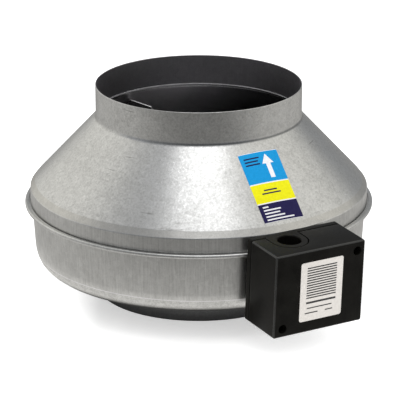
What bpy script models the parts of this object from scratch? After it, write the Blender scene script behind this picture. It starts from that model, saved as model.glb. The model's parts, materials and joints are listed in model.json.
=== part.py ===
"""Inline duct fan: a seamed sheet steel housing round an external rotor motor and a backward curved
impeller, with a terminal box on the drum. Metres, +Z up. The origin is on the duct axis, in the
plane of the inlet collar's rim. The terminal box faces -Y.

An azimuth is in degrees round the duct axis: 0 points along -Y and 90 along +X."""

import math

import bmesh
import bpy
from mathutils import Matrix, Vector

# General
GAP = 0.0003  # between pieces that touch or are fastened together
SHEET = 0.0010  # housing sheet
SHARP = math.radians(32)
ROUND_HOUSING = 36  # facets round the housing
ROUND_IMPELLER = 42
ROUND_MOTOR = 24
ROUND_BEARING = 20
ROUND_SMALL = 12
ROUND_TINY = 8

# Housing
COLLAR_RADIUS = 0.1000  # outside of both duct collars
HEIGHT = 0.2078
COLLAR_FOOT = 0.1765  # where the outlet collar meets the cone
CONE_RADIUS = 0.1590  # at the cone's lower end
CONE_FOOT = 0.1120
WALL_RADIUS = 0.1645
WALL_TOP = 0.1065
SEAM_RADIUS = 0.1700
SEAM_FOOT = 0.0886
SEAM_GAP = 0.0004  # between the leaves of the folded seam
SEAM_LAP = 0.0040  # how far the folded leaf reaches back over the flange
DRUM_RADIUS = 0.1630  # at the seam
DRUM_DRAFT = math.radians(3.4)
FLOOR = 0.0280  # underside of the housing's flat bottom
SHOULDER_RADIUS = 0.0180
COLLAR_BEND = 0.0050

# Inlet nozzle
NOZZLE_RADIUS = 0.0840  # of the throat
NOZZLE_TOP = 0.0560
NOZZLE_FLANGE = 0.1120
NOZZLE_MOUTH = 0.0970
RIVET_CIRCLE = 0.1060
RIVET_AZIMUTHS = (65, 185, 305)  # each in the middle of a facet

# Impeller
IMPELLER_RADIUS = 0.1125
EYE_RADIUS = 0.0870
EYE_FOOT = 0.0500
FLARE_FOOT = 0.0550
FLARE_TOP = 0.0690
FLARE_STEPS = 3
SHROUD_SHEET = 0.0012
HUB_FOOT = 0.0980
HUB_SHEET = 0.0015
BLADES = 7
BLADE_SHEET = 0.0015
BLADE_START = 0.0760
BLADE_ANGLE = math.radians(32)  # from the tangent
BLADE_CLEARANCE = 0.0006

# Motor
ROTOR_RADIUS = 0.0520
ROTOR_WALL = 0.0025
ROTOR_FOOT = 0.0640
ROTOR_TOP = 0.1140
ROTOR_FLANGE_RADIUS = 0.0620
ROTOR_FLANGE_FOOT = HUB_FOOT + HUB_SHEET + GAP
ROTOR_SCREW_CIRCLE = 0.0570
SHAFT_RADIUS = 0.0040
SHAFT_SPAN = (0.0605, 0.1165)
BEARING_RADIUS = 0.0110
BEARING_WIDTH = 0.0070
BEARING_FEET = {"lower": 0.0820, "upper": 0.1087}
BALLS = 7
BALL_RADIUS = 0.0017
BALL_GROOVE = 0.0022  # radius of the grooves in the races
BALL_CIRCLE = 0.0076
TUBE_RADIUS = 0.0134
CORE_RADIUS = 0.0380
CORE_SPAN = (0.0780, 0.1020)
SLOTS = 12
STATOR_FLANGE = (0.1180, 0.1210)
STATOR_FLANGE_RADIUS = 0.0500
BOSS_TOP = 0.1276
MOTOR_SCREW_CIRCLE = 0.0340
MOTOR_SCREW_AZIMUTHS = (40, 160, -80)
LEAD_HOLE = 0.0240  # radius at which the motor lead goes down through the stator flange

# Motor support
PLATE_RADIUS = 0.0620
PLATE_SPAN = (0.1280, 0.1295)
ARM_SHEET = 0.0015
ARM_AZIMUTHS = (-170, -50, 70)
ARM_TOP = 0.1665

# Terminal box, in a frame of its own: X to the side, Y up its front face, Z out of its front face
BOX_LEAN = math.radians(3.33)  # the box stands parallel to the drum's draft
BOX_ORIGIN = (0.0, -0.2153, 0.0260)  # bottom centre of the front face
BOX_WIDTH = 0.0960
BOX_HEIGHT = 0.0808
BOX_DEPTH = 0.0500
BOX_WALL = 0.0025
BOX_BACK = 0.0030
BOX_CORNER = 0.0020
COVER_EDGE = 0.0012
COVER_DEPTH = 0.0426
BASE_RIM = 0.0440
CONDUIT_AT = (-0.0157, 0.0302)  # to the side, and in from the front face
CONDUIT_RADIUS = 0.0111
TONGUE_RADIUS = 0.0174
NOTCH_GAP = 0.0006
COVER_SCREWS_AT = ((-0.0382, 0.0081), (0.0398, 0.0709))
WELL_RADIUS = 0.0076
RECESS_RADIUS = 0.00415
RECESS_DEPTH = 0.0348
BOX_SCREWS_AT = ((-0.0240, 0.0380), (0.0240, 0.0380))
GROUND_SCREW_AT = (-0.0340, 0.0500)
LEAD_AT = (0.0, 0.0380)
LEAD_RADIUS = 0.0030
DRUM_DEPTH = 0.0558  # from the box's front face in to the drum, on the centre line
PAD_SIZE = (0.0600, 0.0340)
LABEL_LOW = (-0.0210, 0.0113)
LABEL_HIGH = (0.0245, 0.0696)

# Sticker on the cone, above the terminal box
STICKER_WIDTH = 0.0420
STICKER_LENGTH = 0.0710
STICKER_FOOT = 0.1150

FINISHES = {  # colour, roughness, metallic
    "galvanised_steel": ((0.60, 0.60, 0.57), 0.36, 1.0),
    "impeller_steel": ((0.55, 0.56, 0.57), 0.40, 1.0),
    "black_paint": ((0.03, 0.03, 0.03), 0.45, 0.0),
    "cast_aluminium": ((0.58, 0.59, 0.60), 0.50, 1.0),
    "core_steel": ((0.30, 0.31, 0.33), 0.45, 1.0),
    "copper": ((0.72, 0.36, 0.20), 0.35, 1.0),
    "bright_steel": ((0.70, 0.71, 0.72), 0.22, 1.0),
    "zinc": ((0.62, 0.63, 0.62), 0.32, 1.0),
    "black_plastic": ((0.035, 0.033, 0.030), 0.48, 0.0),
    "white_plastic": ((0.78, 0.78, 0.74), 0.45, 0.0),
    "grey_plastic": ((0.42, 0.43, 0.44), 0.50, 0.0),
    "rubber": ((0.03, 0.03, 0.03), 0.75, 0.0),
    "foam": ((0.06, 0.06, 0.06), 0.95, 0.0),
    "brass": ((0.70, 0.55, 0.25), 0.30, 1.0),
    "label_paper": ((0.86, 0.86, 0.82), 0.50, 0.0),
    "sticker_vinyl": ((0.10, 0.55, 0.80), 0.35, 0.0),
}


# ---------------------------------------------------------------- scene, finishes and objects


def clear_scene():
    for obj in list(bpy.data.objects):
        bpy.data.objects.remove(obj)


def finish(name):
    """The named Principled material, made the first time it is asked for."""
    found = bpy.data.materials.get(name)
    if found:
        return found
    colour, roughness, metallic = FINISHES[name]
    made = bpy.data.materials.new(name)
    made.use_nodes = True
    shader = made.node_tree.nodes["Principled BSDF"]
    shader.inputs["Base Color"].default_value = (*colour, 1.0)
    shader.inputs["Roughness"].default_value = roughness
    shader.inputs["Metallic"].default_value = metallic
    return made


def frame_empty(name, location=(0, 0, 0), rotation=(0, 0, 0), parent=None):
    empty = bpy.data.objects.new(name, None)
    empty.location = location
    empty.rotation_euler = rotation
    empty.parent = parent
    bpy.context.scene.collection.objects.link(empty)
    return empty


def place(name, data, parent=None, location=(0, 0, 0), turn=0.0):
    """An object made of a mesh, turned about Z by an angle in radians."""
    obj = bpy.data.objects.new(name, data)
    obj.location = location
    obj.rotation_euler.z = turn
    obj.parent = parent
    bpy.context.scene.collection.objects.link(obj)
    return obj


def mesh_of(name, shape, finish_name):
    """A mesh from a bmesh, with its faces turned outwards and its round sides shaded smooth."""
    bmesh.ops.recalc_face_normals(shape, faces=shape.faces[:])
    data = bpy.data.meshes.new(name)
    shape.to_mesh(data)
    shape.free()
    data.shade_smooth()
    data.set_sharp_from_angle(angle=SHARP)
    data.materials.append(finish(finish_name))
    return data


def add(name, shape, finish_name, parent=None, location=(0, 0, 0), turn=0.0):
    return place(name, mesh_of(name, shape, finish_name), parent, location, turn)


def tool(name, shape, parent=None, location=(0, 0, 0)):
    """A guide for a Boolean, which isn't part of the fan."""
    obj = place(name, mesh_of(name, shape, "zinc"), parent, location)
    obj.hide_render = True
    obj.display_type = "WIRE"
    return obj


def boolean(obj, operation, *tools):
    for other in tools:
        modifier = obj.modifiers.new(other.name, "BOOLEAN")
        modifier.operation = operation
        modifier.solver = "EXACT"
        modifier.object = other


def cut(obj, *tools):
    boolean(obj, "DIFFERENCE", *tools)


def fuse(obj, *tools):
    boolean(obj, "UNION", *tools)


# ---------------------------------------------------------------- outlines and lines


def polar(radius, azimuth, height=0.0):
    angle = math.radians(azimuth)
    return Vector((radius * math.sin(angle), -radius * math.cos(angle), height))


def round_corner(before, corner, after, radius, steps):
    """The points of an arc of that radius that rounds a corner between two straight lines."""
    before, corner, after = Vector(before), Vector(corner), Vector(after)
    back = (before - corner).normalized()
    on = (after - corner).normalized()
    half = back.angle(on) / 2
    start = corner + back * (radius / math.tan(half))
    centre = corner + (back + on).normalized() * (radius / math.sin(half))
    out = start - centre
    side = (corner - centre).normalized()
    across = (side * out.length - out * out.normalized().dot(side)).normalized() * radius
    sweep = math.pi - 2 * half
    return [
        centre + out * math.cos(sweep * k / steps) + across * math.sin(sweep * k / steps)
        for k in range(steps + 1)
    ]


def offset_line(line, distance):
    """The line moved to its left by a distance, with its corners kept sharp."""
    points = [Vector(point) for point in line]
    moved = []
    for i, point in enumerate(points):
        before = points[max(i - 1, 0)]
        after = points[min(i + 1, len(points) - 1)]
        into = (point - before) if i else (after - point)
        out = (after - point) if i < len(points) - 1 else into
        into.normalize()
        out.normalize()
        normals = [Vector((-way.y, way.x)) for way in (into, out)]
        middle = (normals[0] + normals[1]).normalized()
        moved.append(point + middle * (distance / middle.dot(normals[0])))
    return moved


def sheet_outline(line, thickness):
    """The closed outline of a sheet that lies to the left of a line."""
    return [Vector(point) for point in line] + offset_line(line, thickness)[::-1]


def circle(radius, sides, centre=(0, 0)):
    angles = [2 * math.pi * k / sides for k in range(sides)]
    return [(centre[0] + radius * math.cos(a), centre[1] + radius * math.sin(a)) for a in angles]


def rectangle(low, high, corner=0.0, steps=2):
    """A rectangle, counter-clockwise, with rounded corners if they have a radius."""
    corners = [Vector(p) for p in (low, (high[0], low[1]), high, (low[0], high[1]))]
    if not corner:
        return corners
    around = zip(corners[-1:] + corners[:-1], corners, corners[1:] + corners[:1])
    return [p for before, at, after in around for p in round_corner(before, at, after, corner, steps)]


def box_outline(inset):
    """The terminal box's outline, seen from its front, drawn in by a distance."""
    half = BOX_WIDTH / 2 - inset
    corner = max(BOX_CORNER - inset, 0.0005)
    return rectangle((-half, inset), (half, BOX_HEIGHT - inset), corner)


def u_outline(radius, deepest):
    """The conduit tongue's outline: straight sides with a half round end, as (side, depth) points."""
    side, depth = CONDUIT_AT
    bend = [math.pi * k / 8 for k in range(9)]
    nose = [(side - radius * math.cos(a), depth - radius * math.sin(a)) for a in bend]
    return [(side - radius, deepest), *nose, (side + radius, deepest)]


# ---------------------------------------------------------------- solids


def bridge(shape, one, other):
    """The faces between two rings of points, where a ring of one point is a point on the axis."""
    count = max(len(one), len(other))
    if count == 1:
        return
    for k in range(count):
        following = (k + 1) % count
        if len(other) == 1:
            shape.faces.new((one[k], one[following], other[0]))
        elif len(one) == 1:
            shape.faces.new((one[0], other[following], other[k]))
        else:
            shape.faces.new((one[k], one[following], other[following], other[k]))


def revolved(outline, sides):
    """A closed outline of (radius, height) points, turned about Z."""
    shape = bmesh.new()
    rings = []
    for radius, height in outline:
        count = sides if radius > 0 else 1
        rings.append([shape.verts.new((x, y, height)) for x, y in circle(radius, count)])
    for one, other in zip(rings, rings[1:] + rings[:1]):
        bridge(shape, one, other)
    return shape


def add_prism(shape, outlines):
    """A solid through flat outlines of as many points each, given as (outline, height) pairs."""
    rings = [[shape.verts.new((x, y, height)) for x, y in outline] for outline, height in outlines]
    for one, other in zip(rings, rings[1:]):
        bridge(shape, one, other)
    shape.faces.new(rings[0])
    shape.faces.new(rings[-1])


def prism(outline, low, high):
    shape = bmesh.new()
    add_prism(shape, ((outline, low), (outline, high)))
    return shape


def posts(places, radius, low, high, sides=ROUND_SMALL):
    """Round posts along Z, one at each place."""
    shape = bmesh.new()
    for place_xy in places:
        outline = circle(radius, sides, place_xy)
        add_prism(shape, ((outline, low), (outline, high)))
    return shape


def turned(shape, angle, axis):
    bmesh.ops.transform(shape, matrix=Matrix.Rotation(angle, 4, axis), verts=shape.verts[:])
    return shape


def upright(shape):
    """Turns a prism of (side, depth) points so that it rises along the terminal box's Y."""
    return turned(shape, -math.pi / 2, "X")


def tube(path, radius, sides):
    """A round rod along a path of points that stays in the plane X = 0."""
    shape = bmesh.new()
    rings = []
    for i, point in enumerate(path):
        way = (path[min(i + 1, len(path) - 1)] - path[max(i - 1, 0)]).normalized()
        up = way.cross(Vector((1, 0, 0)))
        ring = [point + Vector((x, 0, 0)) + up * y for x, y in circle(radius, sides)]
        rings.append([shape.verts.new(vert) for vert in ring])
    for one, other in zip(rings, rings[1:]):
        bridge(shape, one, other)
    shape.faces.new(rings[0])
    shape.faces.new(rings[-1])
    return shape


def screw_shape(head_radius, head_height, shank_radius, length, sides=ROUND_TINY):
    """A screw along Z, with the underside of its head at zero and its shank below it."""
    outline = [
        (0, head_height),
        (head_radius * 0.75, head_height),
        (head_radius, head_height * 0.5),
        (head_radius, 0),
        (shank_radius, 0),
        (shank_radius, -length + shank_radius),
        (0, -length),
    ]
    return revolved(outline, sides)


def split_ring(inner, outer, opening, low, high, sides):
    """A flat ring about Z with a gap of that angle in it."""
    start, sweep = opening / 2, 2 * math.pi - opening
    angles = [start + sweep * k / sides for k in range(sides + 1)]
    outline = [(outer * math.cos(a), outer * math.sin(a)) for a in angles]
    outline += [(inner * math.cos(a), inner * math.sin(a)) for a in reversed(angles)]
    return prism(outline, low, high)


# ---------------------------------------------------------------- housing


def drum_radius(height):
    return DRUM_RADIUS - (SEAM_FOOT - height) * math.tan(DRUM_DRAFT)


def cone_radius(height):
    """Outside radius of the cone."""
    slope = (CONE_RADIUS - COLLAR_RADIUS) / (COLLAR_FOOT - CONE_FOOT)
    return COLLAR_RADIUS + (COLLAR_FOOT - height) * slope


def make_outlet_shell():
    """Outlet collar, cone, band, wall and flange, drawn along the outside from the flange up."""
    flange_top = SEAM_FOOT + 2 * SHEET + SEAM_GAP
    flange_edge = SEAM_RADIUS - SHEET - SEAM_GAP
    rim = (COLLAR_RADIUS, HEIGHT)
    foot = (COLLAR_RADIUS, COLLAR_FOOT)
    cone_end = (CONE_RADIUS, CONE_FOOT)
    line = [(flange_edge, flange_top), (WALL_RADIUS, flange_top), (WALL_RADIUS, WALL_TOP), cone_end]
    line += round_corner(cone_end, foot, rim, COLLAR_BEND, 2) + [rim]
    return add("outlet_shell", revolved(sheet_outline(line, SHEET), ROUND_HOUSING), "galvanised_steel")


def make_inlet_shell(holes):
    """Inlet collar, bottom, shoulder, drum and folded seam lip, drawn along the outside from the rim."""
    seam_top = SEAM_FOOT + 3 * SHEET + 2 * SEAM_GAP
    collar_end = (COLLAR_RADIUS, FLOOR)
    shoulder = (drum_radius(FLOOR), FLOOR)
    drum_end = (DRUM_RADIUS, SEAM_FOOT)
    line = [(COLLAR_RADIUS, 0), collar_end]
    line += round_corner(collar_end, shoulder, drum_end, SHOULDER_RADIUS, 3) + [drum_end]
    line += [(SEAM_RADIUS, SEAM_FOOT), (SEAM_RADIUS, seam_top), (SEAM_RADIUS - SEAM_LAP, seam_top)]
    shell = add("inlet_shell", revolved(sheet_outline(line, SHEET), ROUND_HOUSING), "galvanised_steel")
    cut(shell, *holes)


def make_nozzle(holes):
    """Flange on the housing's bottom, then a quarter ellipse into the throat."""
    low = FLOOR + SHEET + GAP
    reach, rise = NOZZLE_MOUTH - NOZZLE_RADIUS, NOZZLE_TOP - 0.002 - low
    angles = [math.pi / 2 * k / 4 for k in range(5)]
    bell = [(NOZZLE_MOUTH - reach * math.sin(a), low + rise * (1 - math.cos(a))) for a in angles]
    line = [(NOZZLE_RADIUS, NOZZLE_TOP), *bell[::-1], (NOZZLE_FLANGE, low)]
    outline = sheet_outline(line, SHEET)
    cut(add("inlet_nozzle", revolved(outline, ROUND_HOUSING), "galvanised_steel"), *holes)


def rivet_places():
    return [polar(RIVET_CIRCLE, azimuth) for azimuth in RIVET_AZIMUTHS]


def make_rivets():
    """Rivets with their head under the housing's bottom and a formed end on the nozzle's flange."""
    head, shank, end = 0.0032, 0.0016, 0.0024
    low, high = FLOOR - GAP, FLOOR + 2 * SHEET + 2 * GAP
    outline = [
        (0, low - 0.0010),
        (head * 0.8, low - 0.0010),
        (head, low),
        (shank, low),
        (shank, high),
        (end, high),
        (end * 0.7, high + 0.0012),
        (0, high + 0.0012),
    ]
    data = mesh_of("nozzle_rivet", revolved(outline, ROUND_TINY), "zinc")
    for k, spot in enumerate(rivet_places(), 1):
        place(f"nozzle_rivet_{k}", data, location=spot)


def make_sticker():
    """A rectangle laid on the cone, centred above the terminal box."""
    slope = math.atan2(CONE_RADIUS - COLLAR_RADIUS, COLLAR_FOOT - CONE_FOOT)
    low_radius = cone_radius(STICKER_FOOT)
    apex = STICKER_FOOT + low_radius / math.tan(slope)
    from_apex = low_radius / math.sin(slope)
    shape = bmesh.new()
    columns, rows = 8, 3
    layers = []
    for lift in (0.00015, 0.00035):
        grid = []
        for i in range(rows + 1):
            along = from_apex - STICKER_LENGTH * i / rows
            grid.append([])
            for j in range(columns + 1):
                across = STICKER_WIDTH * (j / columns - 0.5)
                reach = math.hypot(across, along)
                azimuth = math.degrees(math.atan2(across, along) / math.sin(slope))
                radius = reach * math.sin(slope) + lift * math.cos(slope)
                height = apex - reach * math.cos(slope) + lift * math.sin(slope)
                grid[-1].append(shape.verts.new(polar(radius, azimuth, height)))
        layers.append(grid)
    for grid in layers:
        for i in range(rows):
            for j in range(columns):
                corners = (grid[i][j], grid[i][j + 1], grid[i + 1][j + 1], grid[i + 1][j])
                shape.faces.new(corners)
    bridge(shape, *[grid_border(grid) for grid in layers])
    add("airflow_sticker", shape, "sticker_vinyl")


def grid_border(grid):
    """The points round the edge of a grid, in order."""
    sides = [grid[0], [row[-1] for row in grid], grid[-1][::-1], [row[0] for row in grid][::-1]]
    return [vert for side in sides for vert in side[:-1]]


# ---------------------------------------------------------------- motor support


def cone_inside(height):
    """Inside radius of the cone, less room for its facets."""
    return cone_radius(height) - SHEET / math.cos(math.radians(42.5)) - 0.0010


def arm_mesh():
    """A radial plate with a foot on the motor plate and a tab along the cone, pointing along +X."""
    foot = PLATE_SPAN[1] + GAP
    low, inner = 0.1170, 0.0440
    outline = [
        (inner, foot),
        (PLATE_RADIUS + 0.002, foot),
        (PLATE_RADIUS + 0.002, 0.1230),
        (cone_inside(low), low),
        (cone_inside(ARM_TOP), ARM_TOP),
        (0.0740, ARM_TOP),
        (inner, 0.1420),
    ]
    plate = add("arm_plate", turned(prism(outline, 0, ARM_SHEET), math.pi / 2, "X"), "galvanised_steel")
    pad = rectangle((inner + 0.002, -0.011), (PLATE_RADIUS - 0.001, -0.0005))
    tab_low, tab_high, room, sheet = 0.1220, 0.1600, 0.0006, 0.0020
    tab = [
        (cone_inside(tab_low) - room, tab_low),
        (cone_inside(tab_high) - room, tab_high),
        (cone_inside(tab_high) - room - sheet, tab_high),
        (cone_inside(tab_low) - room - sheet, tab_low),
    ]
    flange = turned(prism(tab, 0.0005, 0.0100), math.pi / 2, "X")
    tools = [tool("arm_foot", prism(pad, foot, foot + ARM_SHEET)), tool("arm_tab", flange)]
    fuse(plate, *tools)
    graph = bpy.context.evaluated_depsgraph_get()
    data = bpy.data.meshes.new_from_object(plate.evaluated_get(graph))
    for obj in (plate, *tools):
        bpy.data.objects.remove(obj)
    return data


def make_support():
    holes = [polar(MOTOR_SCREW_CIRCLE, azimuth) for azimuth in MOTOR_SCREW_AZIMUTHS]
    low, high = PLATE_SPAN
    outline = [(0.0100, low), (PLATE_RADIUS, low), (PLATE_RADIUS, high), (0.0100, high)]
    plate = add("motor_plate", revolved(outline, ROUND_MOTOR), "galvanised_steel")
    cut(plate, tool("plate_holes", posts([p.xy for p in holes], 0.0026, low - 0.001, high + 0.001)))
    data = arm_mesh()
    for k, azimuth in enumerate(ARM_AZIMUTHS, 1):
        place(f"support_arm_{k}", data, turn=math.radians(azimuth - 90))
    screw = mesh_of("motor_screw", screw_shape(0.0040, 0.0026, 0.0022, 0.0100), "zinc")
    for k, spot in enumerate(holes, 1):
        place(f"motor_screw_{k}", screw, location=(spot.x, spot.y, high + GAP))


# ---------------------------------------------------------------- motor


def make_stator_base():
    """Cast flange with the bearing tube, three screw bosses and a hole for the motor lead."""
    seat = BEARING_RADIUS + GAP
    tube_foot = CORE_SPAN[0]
    lower_step = BEARING_FEET["lower"] + BEARING_WIDTH + GAP
    upper_step = BEARING_FEET["upper"] - 0.0011
    low, high = STATOR_FLANGE
    outline = [
        (seat, tube_foot),
        (TUBE_RADIUS, tube_foot),
        (TUBE_RADIUS, low),
        (STATOR_FLANGE_RADIUS, low),
        (STATOR_FLANGE_RADIUS, high),
        (seat, high),
        (seat, upper_step),
        (0.0090, upper_step),
        (0.0090, lower_step),
        (seat, lower_step),
    ]
    base = add("stator_base", revolved(outline, ROUND_MOTOR), "cast_aluminium")
    places = [polar(MOTOR_SCREW_CIRCLE, azimuth).xy for azimuth in MOTOR_SCREW_AZIMUTHS]
    fuse(base, tool("base_bosses", posts(places, 0.0060, low + 0.001, BOSS_TOP)))
    cut(
        base,
        tool("base_threads", posts(places, 0.0026, low + 0.0005, BOSS_TOP + 0.001)),
        tool("base_lead_hole", posts([(0, -LEAD_HOLE)], 0.0045, low - 0.001, high + 0.001)),
    )


def slot_outline(low_radius, high_radius, low_half, high_half, angle):
    """A slot's outline, widening outwards from the low radius to the high one, turned by an angle."""
    corners = [
        Vector((low_radius, -low_half)),
        Vector((high_radius, -high_half)),
        Vector((high_radius, high_half)),
        Vector((low_radius, low_half)),
    ]
    return [Matrix.Rotation(angle, 2) @ corner for corner in corners]


def slot_bars(sizes, low, high):
    """One bar in each of the core's slots."""
    shape = bmesh.new()
    for k in range(SLOTS):
        outline = slot_outline(*sizes, 2 * math.pi * k / SLOTS)
        add_prism(shape, ((outline, low), (outline, high)))
    return shape


def make_stator():
    """Laminated core on the bearing tube, and the coils through its slots with their end turns."""
    low, high = CORE_SPAN
    bore = TUBE_RADIUS + GAP
    core = [(bore, low), (CORE_RADIUS, low), (CORE_RADIUS, high), (bore, high)]
    core = add("stator_core", revolved(core, ROUND_MOTOR), "core_steel")
    wide = slot_bars((0.0220, 0.0350, 0.0026, 0.0050), low - 0.001, high + 0.001)
    mouth = slot_bars((0.0340, 0.0400, 0.0012, 0.0012), low - 0.001, high + 0.001)
    cut(core, tool("core_slots", wide), tool("core_mouths", mouth))
    ends = []
    for foot, top in ((0.0700, low - 0.0008), (high + 0.0008, 0.1110)):
        ring = rectangle((0.0200, foot), (0.0355, top))
        ends.append(revolved(ring, ROUND_MOTOR))
    winding = add("stator_winding", ends[0], "copper")
    coils = slot_bars((0.0227, 0.0344, 0.0021, 0.0044), low - 0.003, high + 0.003)
    fuse(winding, tool("winding_coils", coils), tool("winding_top", ends[1]))


def race_outline(inner, outer, foot, ball_side):
    """A bearing ring's section, with the ball groove on its outer side (1) or its inner side (-1)."""
    middle = foot + BEARING_WIDTH / 2
    face = outer if ball_side > 0 else inner
    depth = BALL_GROOVE - abs(BALL_CIRCLE - face)
    half = math.sqrt(BALL_GROOVE**2 - (BALL_GROOVE - depth) ** 2)
    edge = [(face, middle - half), (face - ball_side * depth, middle), (face, middle + half)]
    low, high = foot, foot + BEARING_WIDTH
    if ball_side > 0:
        return [(inner, low), (outer, low), *edge, (outer, high), (inner, high)]
    return [(outer, high), (inner, high), *edge[::-1], (inner, low), (outer, low)]


def ball_set(foot):
    """The balls and the ring of the cage that carries them, as one running piece."""
    middle = foot + BEARING_WIDTH / 2
    balls = bmesh.new()
    for k in range(BALLS):
        centre = polar(BALL_CIRCLE, 360 * k / BALLS, middle)
        made = bmesh.ops.create_uvsphere(balls, u_segments=8, v_segments=4, radius=BALL_RADIUS)
        bmesh.ops.translate(balls, vec=centre, verts=made["verts"])
    low, high = middle + 0.0009, middle + 0.0026
    ring = [(0.0069, low), (0.0083, low), (0.0083, high), (0.0069, high)]
    return revolved(ring, ROUND_BEARING), balls


def make_bearings(rotor):
    land_inner, land_outer = 0.0064, 0.0088
    for name, foot in BEARING_FEET.items():
        inner = race_outline(SHAFT_RADIUS + GAP, land_inner, foot, 1)
        outer = race_outline(land_outer, BEARING_RADIUS, foot, -1)
        add(f"{name}_inner_race", revolved(inner, ROUND_BEARING), "bright_steel", rotor)
        add(f"{name}_outer_race", revolved(outer, ROUND_BEARING), "bright_steel")
        ring, balls = ball_set(foot)
        axis = frame_empty(f"{name}_ball_axis")
        cage = add(f"{name}_ball_cage", ring, "bright_steel", axis)
        fuse(cage, tool(f"{name}_balls", balls, axis))
    low = BEARING_FEET["upper"] - 0.0008
    washer = [(0.0096, low), (0.0109, low), (0.0109, low + 0.0005), (0.0096, low + 0.0005)]
    add("wave_washer", revolved(washer, ROUND_SMALL), "bright_steel")


def make_rotor(rotor):
    """Shaft, rotor cup with its impeller flange, squirrel cage and the clip under the lower bearing."""
    low, high = SHAFT_SPAN
    tip = 0.0006
    ends = [(SHAFT_RADIUS - tip, low), (SHAFT_RADIUS, low + tip)]
    ends += [(SHAFT_RADIUS, high - tip), (SHAFT_RADIUS - tip, high)]
    add("shaft", revolved([(0, low), *ends, (0, high)], ROUND_SMALL), "bright_steel", rotor)
    bore, boss, boss_top = SHAFT_RADIUS + GAP, 0.0120, 0.0760
    inside = ROTOR_RADIUS - ROTOR_WALL
    floor = ROTOR_FOOT + ROTOR_WALL
    flange_top = ROTOR_FLANGE_FOOT + 0.0015
    corner = (ROTOR_RADIUS, ROTOR_FOOT)
    cup = [(bore, ROTOR_FOOT)]
    cup += round_corner(cup[0], corner, (ROTOR_RADIUS, ROTOR_TOP), 0.0060, 3)
    cup += [(ROTOR_RADIUS, ROTOR_FLANGE_FOOT), (ROTOR_FLANGE_RADIUS, ROTOR_FLANGE_FOOT)]
    cup += [(ROTOR_FLANGE_RADIUS, flange_top), (ROTOR_RADIUS, flange_top), (ROTOR_RADIUS, ROTOR_TOP)]
    cup += [(inside, ROTOR_TOP), (inside, floor), (boss, floor), (boss, boss_top), (bore, boss_top)]
    cup = add("rotor_cup", revolved(cup, ROUND_MOTOR), "black_paint", rotor)
    spots = [polar(ROTOR_SCREW_CIRCLE, 120 * k).xy for k in range(3)]
    shank, head_seat = 0.0018, flange_top + GAP
    cut(cup, tool("cup_holes", posts(spots, shank + GAP, ROTOR_FLANGE_FOOT - 0.001, head_seat)))
    screw = mesh_of("rotor_screw", screw_shape(0.0034, 0.0022, shank, 0.0075), "zinc")
    for k, spot in enumerate(spots, 1):
        place(f"rotor_screw_{k}", screw, rotor, (*spot, head_seat))
    cage_low, cage_high, ring = 0.0745, 0.1055, 0.0028
    inner, outer = CORE_RADIUS + 0.0006, inside - GAP - 0.0003
    cage = [(inner, cage_low + ring), (inner + 0.001, cage_low), (outer - 0.001, cage_low)]
    cage += [(outer, cage_low + ring), (outer, cage_high - ring), (outer - 0.001, cage_high)]
    cage += [(inner + 0.001, cage_high), (inner, cage_high - ring)]
    add("rotor_cage", revolved(cage, ROUND_MOTOR), "core_steel", rotor)
    clip_top = BEARING_FEET["lower"] - GAP
    clip = split_ring(bore, 0.0064, math.radians(70), clip_top - 0.0009, clip_top, 12)
    add("shaft_circlip", clip, "bright_steel", rotor)
    return spots


# ---------------------------------------------------------------- impeller


def flare_line():
    """The air side of the shroud from the eye outwards: a quarter ellipse in the radius and height."""
    reach, rise = IMPELLER_RADIUS - EYE_RADIUS, FLARE_TOP - FLARE_FOOT
    angles = [math.pi / 2 * k / FLARE_STEPS for k in range(FLARE_STEPS + 1)]
    return [(EYE_RADIUS + reach * (1 - math.cos(a)), FLARE_FOOT + rise * math.sin(a)) for a in angles]


def blade_foot(radius):
    """Height of a blade's lower edge, just clear of the shroud."""
    line = [Vector((BLADE_START, FLARE_FOOT + 0.003))]
    line += offset_line(flare_line(), BLADE_CLEARANCE)[1:]
    for low, high in zip(line, line[1:]):
        if radius < high.x or high is line[-1]:
            return low.y + (high.y - low.y) * (radius - low.x) / (high.x - low.x)


def blade_mesh():
    """A blade that leans back at a constant angle to the tangent, from inside the eye to the rim."""
    radii = [BLADE_START + 0.001, 0.0835]
    radii += [point.x for point in offset_line(flare_line(), BLADE_CLEARANCE)[1:-1]]
    radii.append(IMPELLER_RADIUS - 0.0012)
    shape = bmesh.new()
    rings = []
    for radius in radii:
        turn = math.log(radius / BLADE_START) / math.tan(BLADE_ANGLE)
        middle = Vector((radius * math.cos(turn), radius * math.sin(turn)))
        way = Matrix.Rotation(math.pi / 2 - BLADE_ANGLE, 2) @ middle.normalized()
        side = Vector((-way.y, way.x)) * BLADE_SHEET / 2
        faces = [middle + side, middle - side]
        ring = [(*point, blade_foot(point.length)) for point in faces]
        ring += [(*point, HUB_FOOT - 0.0004) for point in reversed(faces)]
        rings.append([shape.verts.new(point) for point in ring])
    for one, other in zip(rings, rings[1:]):
        bridge(shape, one, other)
    shape.faces.new(rings[0])
    shape.faces.new(rings[-1])
    return mesh_of("impeller_blade", shape, "impeller_steel")


def make_impeller(rotor, screw_spots):
    low, high = HUB_FOOT, HUB_FOOT + HUB_SHEET
    bore = ROTOR_RADIUS + 0.0006
    disc = [(bore, low), (IMPELLER_RADIUS, low), (IMPELLER_RADIUS, high), (bore, high)]
    hub = add("impeller_hub", revolved(disc, ROUND_IMPELLER), "impeller_steel", rotor)
    cut(hub, tool("hub_holes", posts(screw_spots, 0.0021, low - 0.001, high + 0.001)))
    line = [(EYE_RADIUS, EYE_FOOT), *flare_line()]
    shroud = sheet_outline(line, -SHROUD_SHEET)
    add("impeller_shroud", revolved(shroud, ROUND_IMPELLER), "impeller_steel", rotor)
    data = blade_mesh()
    for k in range(BLADES):
        place(f"impeller_blade_{k + 1}", data, rotor, turn=2 * math.pi * k / BLADES)
    add("balance_clip", balance_clip(), "zinc", rotor)


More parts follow.
